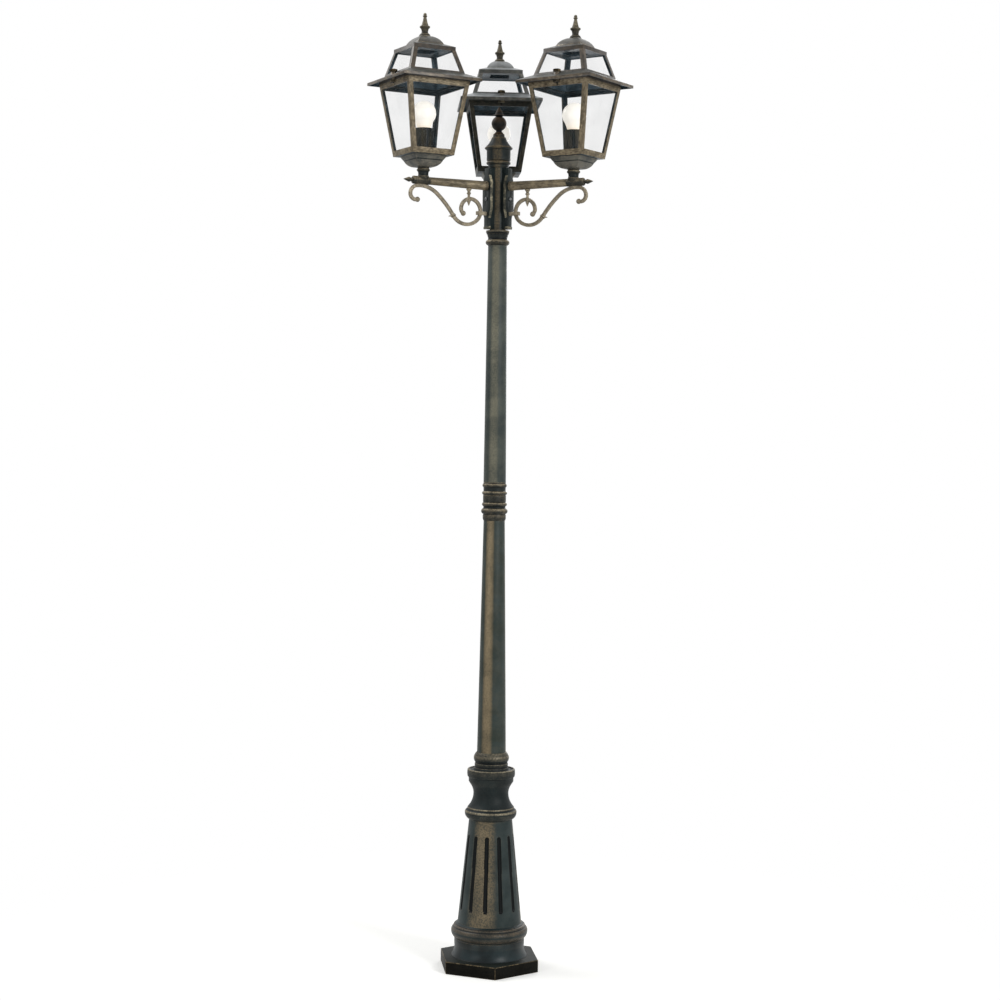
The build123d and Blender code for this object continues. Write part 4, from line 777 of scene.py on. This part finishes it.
saddleOutline = [(8.2, 1990), (12.4, 1990), (14.2, 1996.5), (8.2, 1996.5)]


def armOutline(look):
    root, full = look["root"]
    wide, width, tail = look["rootR"], look["grooveWidth"], root - look["tail"]
    points = [(look["bore"], tail), (look["tailR"], tail), (look["tailR"], root), (wide, root)]
    for at in (root + step for step in look["grooves"]):
        points += [(wide, at), (wide - look["grooveDepth"], at + width / 2), (wide, at + width)]
    return points + [
        (wide, full - look["shoulder"]), (look["startR"], full), (look["endR"], look["teeStart"]),
        (look["spigotR"], look["teeStart"]), (look["spigotR"], look["boreEnd"]),
        (look["bore"], look["boreEnd"])]


stemSpot = Matrix.Translation((armReach * mm, 0, 0))
tubeMesh = turnedMesh("armTube", armOutline(armTube), 56, 5, alongArm)
spearMesh = turnedMesh("armSpear", spearOutline, 32, 5, alongArm)
stemMesh = joined("lanternStem", [
    turnedMesh("sleeve", sleeveOutline, 48, 5, alongArm), turnedMesh("neck", stemOutline, 56, 6, stemSpot),
    turnedMesh("saddle", saddleOutline, 56, 4, stemSpot)])
spears = []
for side in sides:
    tube, stem, spear = (placedCopy(mesh, armPlace[side]) for mesh in (tubeMesh, stemMesh, spearMesh))
    finishPiece("armTube_" + side, tube, ["arm"], ["arm_" + side], bevelMm=0.4, grain=True)
    finishPiece("stem_" + side, stem, ["turned"], ["lantern_stem_" + side], bevelMm=0.4)
    spears.append(spear)
finishPiece("armSpears", joined("armSpears", spears), ["turned"], ["arm_spears"], bevelMm=0.3)
print("arms done")

# scrolls: a flat bar that follows its curls, swept by a tree; each turn is (radius, degrees)
scroll = {
    "bar": (7.4, 9.0), "corner": 1.6, "start": (100.5, -73.3), "heading": 32.4, "ballR": 6.6,
    "turns": [(14.1, 63.4), (26.9, 105.1), (30.2, 113.6), (44.9, 101.0), (256.1, -15.5), (72.5, -49.3),
              (19.9, -83.1), (14.9, -106.4)],
    "knotAfter": 4, "hangerAt": 85.0, "tabFrom": 34, "tabDrop": 70.0, "tabHeight": 9,
    "knot": [(0, -3.4), (5.2, -3.4), (6.4, 0, 0.9), (5.2, 3.4, 0.9), (0, 3.4)],
    "thorn": [(0, 0), (3.2, 0), (2.4, 7), (0.7, 13.3), (0, 14.0, 0.2)],
    "hanger": [(0, -53), (1.0, -53), (6.4, -38), (4.2, -33), (3.2, -29), *bead(3.6, -22.5, 5, 2.0),
               (6.8, -13.4, -0.9), (6.8, -11.2), (0, -11.2)]}


def scrollPath(look):
    x, z = look["start"]
    heading = math.radians(look["heading"])
    path, stops = [(x, z)], [(x, z, heading)]
    for radius, turn in look["turns"]:
        way = 1 if turn > 0 else -1
        centre = (x - way * radius * math.sin(heading), z + way * radius * math.cos(heading))
        steps = max(4, round(abs(turn) / 5))
        for k in range(1, steps + 1):
            now = heading + math.radians(turn) * k / steps
            path.append((centre[0] + way * radius * math.sin(now), centre[1] - way * radius * math.cos(now)))
        x, z = path[-1]
        heading += math.radians(turn)
        stops.append((x, z, heading))
    return path, stops


def sweepTree():
    tree, enter = treeOf("barAlongCurls", {"Width": 0.009, "Thickness": 0.0074, "Corner": 0.0015})
    line = addNode(tree, "GeometryNodeMeshToCurve", {}, {"Mesh": enter["Geometry"]})
    section = addNode(tree, "GeometryNodeCurvePrimitiveQuadrilateral", {"mode": "RECTANGLE"}, {
        "Width": enter["Thickness"], "Height": enter["Width"]})
    rounded = addNode(tree, "GeometryNodeFilletCurve", {"mode": "POLY"}, {
        "Curve": section, "Radius": enter["Corner"], "Count": 3})
    swept = addNode(tree, "GeometryNodeCurveToMesh", {}, {
        "Curve": line, "Profile Curve": rounded, "Fill Caps": True})
    return closeTree(tree, enter, swept)


def inScroll(x, z, tiltDegrees=0.0):
    return Matrix.Translation((x * mm, 0, z * mm)) @ Matrix.Rotation(math.radians(tiltDegrees), 4, "Y")


def makeScroll(look):
    path, stops = scrollPath(look)
    line = bpy.data.meshes.new("scrollLine")
    line.from_pydata([(x * mm, 0, z * mm) for x, z in path], [(k, k + 1) for k in range(len(path) - 1)], [])
    thick, wide = look["bar"]
    work = bmesh.new()
    work.from_mesh(grow("scrollBar", sweepTree(), {
        "Width": wide * mm, "Thickness": thick * mm, "Corner": look["corner"] * mm,
        "Finish": paint["scroll"]}, line))
    parts = [meshOf("scrollBar", work)]
    r = look["ballR"]
    bow = r * (1 - math.cos(math.radians(45)))
    for x, z, heading in (stops[0], stops[-1]):
        ball = turnedMesh("scrollBall", [(0, -r), (r, 0, bow), (0, r, bow)], 28, 8, inScroll(x, z))
        parts.append(ball)
    x, z, heading = stops[look["knotAfter"]]
    squareOn = inScroll(x, z, 90 - math.degrees(heading))
    parts.append(turnedMesh("knot", look["knot"], 28, 5, squareOn))
    parts.append(turnedMesh("thorn", look["thorn"], 20, 4, inScroll(x, z, 100)))
    parts.append(turnedMesh("hanger", look["hanger"], 32, 6, inScroll(look["hangerAt"], 0)))
    # a tab from the post's bracket to the innermost curl
    tab = bmesh.new()
    bmesh.ops.create_cube(tab, size=1.0)
    tabEnd = min(x for x, z, heading in stops) + 2
    size = Matrix.Diagonal(((tabEnd - look["tabFrom"]) * mm, wide * mm, look["tabHeight"] * mm, 1))
    tab.transform(inScroll((look["tabFrom"] + tabEnd) / 2, -look["tabDrop"]) @ size)
    parts.append(meshOf("tab", tab))
    mesh = joined("scroll", parts)
    mesh.transform(Matrix.Translation((0, 0, levels["arm"] * mm)))
    return mesh


scrollMesh = makeScroll(scroll)
for side in sides:
    bar = placedCopy(scrollMesh, armPlace[side])
    finishPiece("scroll_" + side + "Bar", bar, ["scroll"], ["scroll_" + side])
print("scrolls done")

# lanterns; cover and bulb heights are from the cage's foot, the thumb screw's from the roof joint
roofFinial = [
    (0, 2310), (3, 2310), (3, 2341.4), (15.4, 2341.4), (15.4, 2342.6), (12.4, 2347.6, -0.5), (9.2, 2349.4),
    (8.2, 2355.4, -0.5), (9.6, 2360.4), (12.9, 2364.0), (12.9, 2366.8), (8.8, 2368.8), (3.7, 2389.6, -0.4),
    (5.4, 2391.0), (5.4, 2393.0), (3.4, 2394.2), (4.4, 2396.2), (0, 2400.1, 0.9)]
cover = {
    "r": 22.8, "bore": 20.2, "foot": 3.4, "height": 64.5, "ribs": 28, "ribR": 1.4, "ringR": 22.6,
    "ribInset": 0.5}
lampBulb = {
    "r": 30.0, "top": 135.8, "foot": 54.3, "capR": 12.2, "neckR": 15.0, "neckRise": 8, "neckBow": 0.8,
    "glass": 1.0, "shoulder": 38}
thumb = {
    "at": 84.2, "seat": 20.05, "height": 6.3, "r": 9.6, "ridges": 30, "ridgeR": 0.75, "shankR": 2.0,
    "shankFoot": -5.3, "flangeR": 3.7, "flange": (0.75, 2.25), "chamfer": 0.8, "dish": 0.7}


def bulbOutline(look):
    outer, t, low, neckBow = look["r"], look["glass"], look["foot"], look["neckBow"]
    inner, middle, neckZ = outer - t, look["top"] - outer, low + look["neckRise"]
    slope = math.radians(look["shoulder"])
    upperBow, lowerBow = 1 - math.cos(math.radians(45)), 1 - math.cos(math.radians(look["shoulder"] / 2))
    outside, inside = ((r * math.cos(slope), middle - r * math.sin(slope)) for r in (outer, inner))
    return [
        (look["capR"] - t, low), (look["capR"], low), (look["neckR"], neckZ), (*outside, -neckBow),
        (outer, middle, outer * lowerBow), (0, look["top"], outer * upperBow), (0, look["top"] - t),
        (inner, middle, -inner * upperBow), (*inside, -inner * lowerBow), (look["neckR"] - t, neckZ, neckBow)]


def makeCover(look):
    foot, top = look["foot"], look["foot"] + look["height"]
    core = turnedMesh("coverCore", [
        (look["bore"], foot), (look["r"], foot), (look["r"], top), (look["bore"], top)], 84, 4)
    ribs = grow("coverRibs", ribTree, {
        "Count": look["ribs"], "Ring Radius": look["ringR"] * mm, "Rib Radius": look["ribR"] * mm,
        "Rib Height": (look["height"] - 2 * look["ribInset"]) * mm, "Foot": (foot + look["ribInset"]) * mm,
        "Finish": paint["phenolic"]})
    return joined("holderCover", [core, ribs])


def makeThumb(look):
    seat, shank, flange, c, dish = (look[key] for key in ("seat", "shankR", "flangeR", "chamfer", "dish"))
    rim, top, (under, over) = look["r"] - c, seat + look["height"], look["flange"]
    core = turnedMesh("thumbCore", [
        (0, look["shankFoot"]), (shank, look["shankFoot"]), (shank, under), (flange, under), (flange, over),
        (shank, over), (shank, seat), (rim - c, seat), (rim, seat + c), (rim, top - c), (rim - c, top),
        (rim - 3 * c, top), (rim - 4 * c, top - dish), (0, top - dish)], 40, 4)
    ridges = grow("thumbRidges", ribTree, {
        "Count": look["ridges"], "Ring Radius": rim * mm, "Rib Radius": look["ridgeR"] * mm,
        "Rib Height": (look["height"] - 2 * dish) * mm, "Foot": (seat + dish) * mm,
        "Finish": paint["turned"]})
    return joined("thumbScrew", [core, ridges])


finialMesh = turnedMesh("roofFinial", roofFinial, 56, 5)
bulbMesh = turnedMesh("bulbGlass", bulbOutline(lampBulb), 64, 10)
coverMesh, thumbMesh = makeCover(cover), makeThumb(thumb)
covers = []
for side in sides:
    roof, spot = "roof_" + side, lanternSpot[side]
    inCage, inRoof = (lanternPlace(side, levels[level]) for level in ("cageFoot", "roofJoint"))
    # the back lantern takes the painted shade and sky sheen copies of the cage and roof finishes
    cageFinish, roofFinish = ("shadedBackCage", "sheenedBackRoof") if side == "back" else ("cageOut", "roofOut")
    for node, body, bevelMm, finishes in (
            ("lantern_cage_", "post", 0.9, [cageFinish, "shade"]),
            ("lantern_bowl_", "post", 0.8, ["bowl", "shade"]),
            ("roof_frame_", roof, 0.9, [roofFinish, "roofShade"]),
            ("roof_cap_", roof, 0.8, [roofFinish, "roofShade"])):
        shape = castCopy(node + side, railEdges.get(node, ()))
        piece = finishPiece(node + side + "Cast", shape, finishes, [node + side], body, bevelMm=bevelMm,
                            grain=True)
        if node != "lantern_bowl_":
            sortFaces(piece.data, spot)
    finial = placedCopy(finialMesh, Matrix.Translation((spot[0] * mm, spot[1] * mm, 0)))
    finishPiece("roofFinial_" + side, finial, ["roofFinial"], ["roof_finial_" + side], roof, bevelMm=0.3)
    glass = placedCopy(bulbMesh, inCage)
    finishPiece("bulbGlass_" + side, glass, ["opal"], ["bulb_" + side])
    knurled = placedCopy(thumbMesh, inRoof @ Matrix.Translation((thumb["at"] * mm, 0, 0)))
    finishPiece("thumbKnurled_" + side, knurled, ["foot"], ["thumb_screw_" + side], "screw_" + side)
    covers.append(placedCopy(coverMesh, inCage))
finishPiece("holderCoversRibbed", joined("holderCoversRibbed", covers), ["phenolic"], ["holder_covers"])
print("lanterns done")

# CAD nodes that keep their shape: the panes, and fittings that are mostly out of sight
keptNodes = {
    "tie_rod": "zinc", "tie_rod_nut": "zinc", "terminal_block": "phenolic", "lamp_leads": "sheath",
    "hub_tube": "hub", "bracket_screws": "steel", "hinge_pins": "steel", "lamp_holders": "phenolic",
    "bulb_caps": "nickel"}
keptNodes |= {panes + side: "glass" for panes in ("lower_panes_", "upper_panes_") for side in sides}
for node, finish in keptNodes.items():
    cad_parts[node].data.materials.clear()
    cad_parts[node].data.materials.append(paint[finish])
print("kept CAD nodes:", len(keptNodes))

# studio: a pale floor that fades out round the post, white all about, four soft lamps
studio = {"floorR": 1.5, "fadeFrom": 0.375, "fadeTo": 0.98, "floor": "f4f4f2", "lift": 0.35, "fill": 0.35}
lamps = {
    "softKey": {"at": (2.9, -3.4, 2.6), "size": (1.2, 2.2), "watts": 120},
    "softFill": {"at": (-3.0, -3.2, 1.6), "size": (1.0, 2.0), "watts": 26},
    "softTop": {"at": (-2.6, 0.8, 4.2), "size": (2.0, 2.0), "watts": 70},
    "softBack": {"at": (1.2, 3.6, 2.6), "size": (2.0, 2.4), "watts": 45}}


def layFloor(look):
    disc = bmesh.new()
    bmesh.ops.create_circle(disc, cap_ends=True, segments=96, radius=look["floorR"])
    disc.transform(Matrix.Translation((0, 0, -0.5 * mm)))
    floor = bpy.data.objects.new("floor", asMesh("floor", disc))
    bpy.context.scene.collection.objects.link(floor)
    material, tree = newMaterial("paleFloor")
    where = addNode(tree, "ShaderNodeTexCoord").outputs["Object"]
    distance = addNode(tree, "ShaderNodeVectorMath", {"operation": "LENGTH"}, {0: where}).outputs["Value"]
    edge = addNode(tree, "ShaderNodeMapRange", soft, {
        "Value": distance, "From Min": look["floorR"] * look["fadeFrom"],
        "From Max": look["floorR"] * look["fadeTo"]})
    card = addNode(tree, "ShaderNodeBsdfDiffuse", {}, {"Color": linear(look["floor"])})
    lift = addNode(tree, "ShaderNodeEmission", {}, {"Color": linear(look["floor"]), "Strength": look["lift"]})
    both = addNode(tree, "ShaderNodeAddShader", {}, {0: card, 1: lift})
    clear = addNode(tree, "ShaderNodeBsdfTransparent")
    faded = addNode(tree, "ShaderNodeMixShader", {}, {0: edge, 1: both, 2: clear})
    addNode(tree, "ShaderNodeOutputMaterial", {}, {"Surface": faded})
    floor.data.materials.append(material)


def lightWorld(look):
    # white to the eye and in reflections, dimmer as a light
    world = bpy.data.worlds.new("paleStudio")
    bpy.context.scene.world = world
    world.use_nodes = True
    tree = world.node_tree
    tree.nodes.clear()
    rays = addNode(tree, "ShaderNodeLightPath").outputs
    shiny = addNode(tree, "ShaderNodeMath", larger, {
        0: rays["Is Glossy Ray"], 1: rays["Is Transmission Ray"]})
    seen = addNode(tree, "ShaderNodeMath", larger, {0: rays["Is Camera Ray"], 1: shiny})
    shown = addNode(tree, "ShaderNodeBackground", {}, {"Color": (1, 1, 1, 1), "Strength": 1.0})
    fill = addNode(tree, "ShaderNodeBackground", {}, {"Color": (1, 1, 1, 1), "Strength": look["fill"]})
    mixed = addNode(tree, "ShaderNodeMixShader", {}, {0: seen, 1: fill, 2: shown})
    addNode(tree, "ShaderNodeOutputWorld", {}, {"Surface": mixed})


def hangLamps(rig):
    aim = Vector((0, 0, 1.3))
    for name, look in rig.items():
        light = bpy.data.lights.new(name, "AREA")
        light.shape = "RECTANGLE"
        light.size, light.size_y = look["size"]
        light.energy = look["watts"]
        holder = bpy.data.objects.new(name, light)
        bpy.context.scene.collection.objects.link(holder)
        holder.location = look["at"]
        holder.rotation_euler = (aim - Vector(look["at"])).to_track_quat("-Z", "Y").to_euler()


layFloor(studio)
lightWorld(studio)
hangLamps(lamps)
bpy.context.scene.view_settings.view_transform = "Standard"
print("studio done")
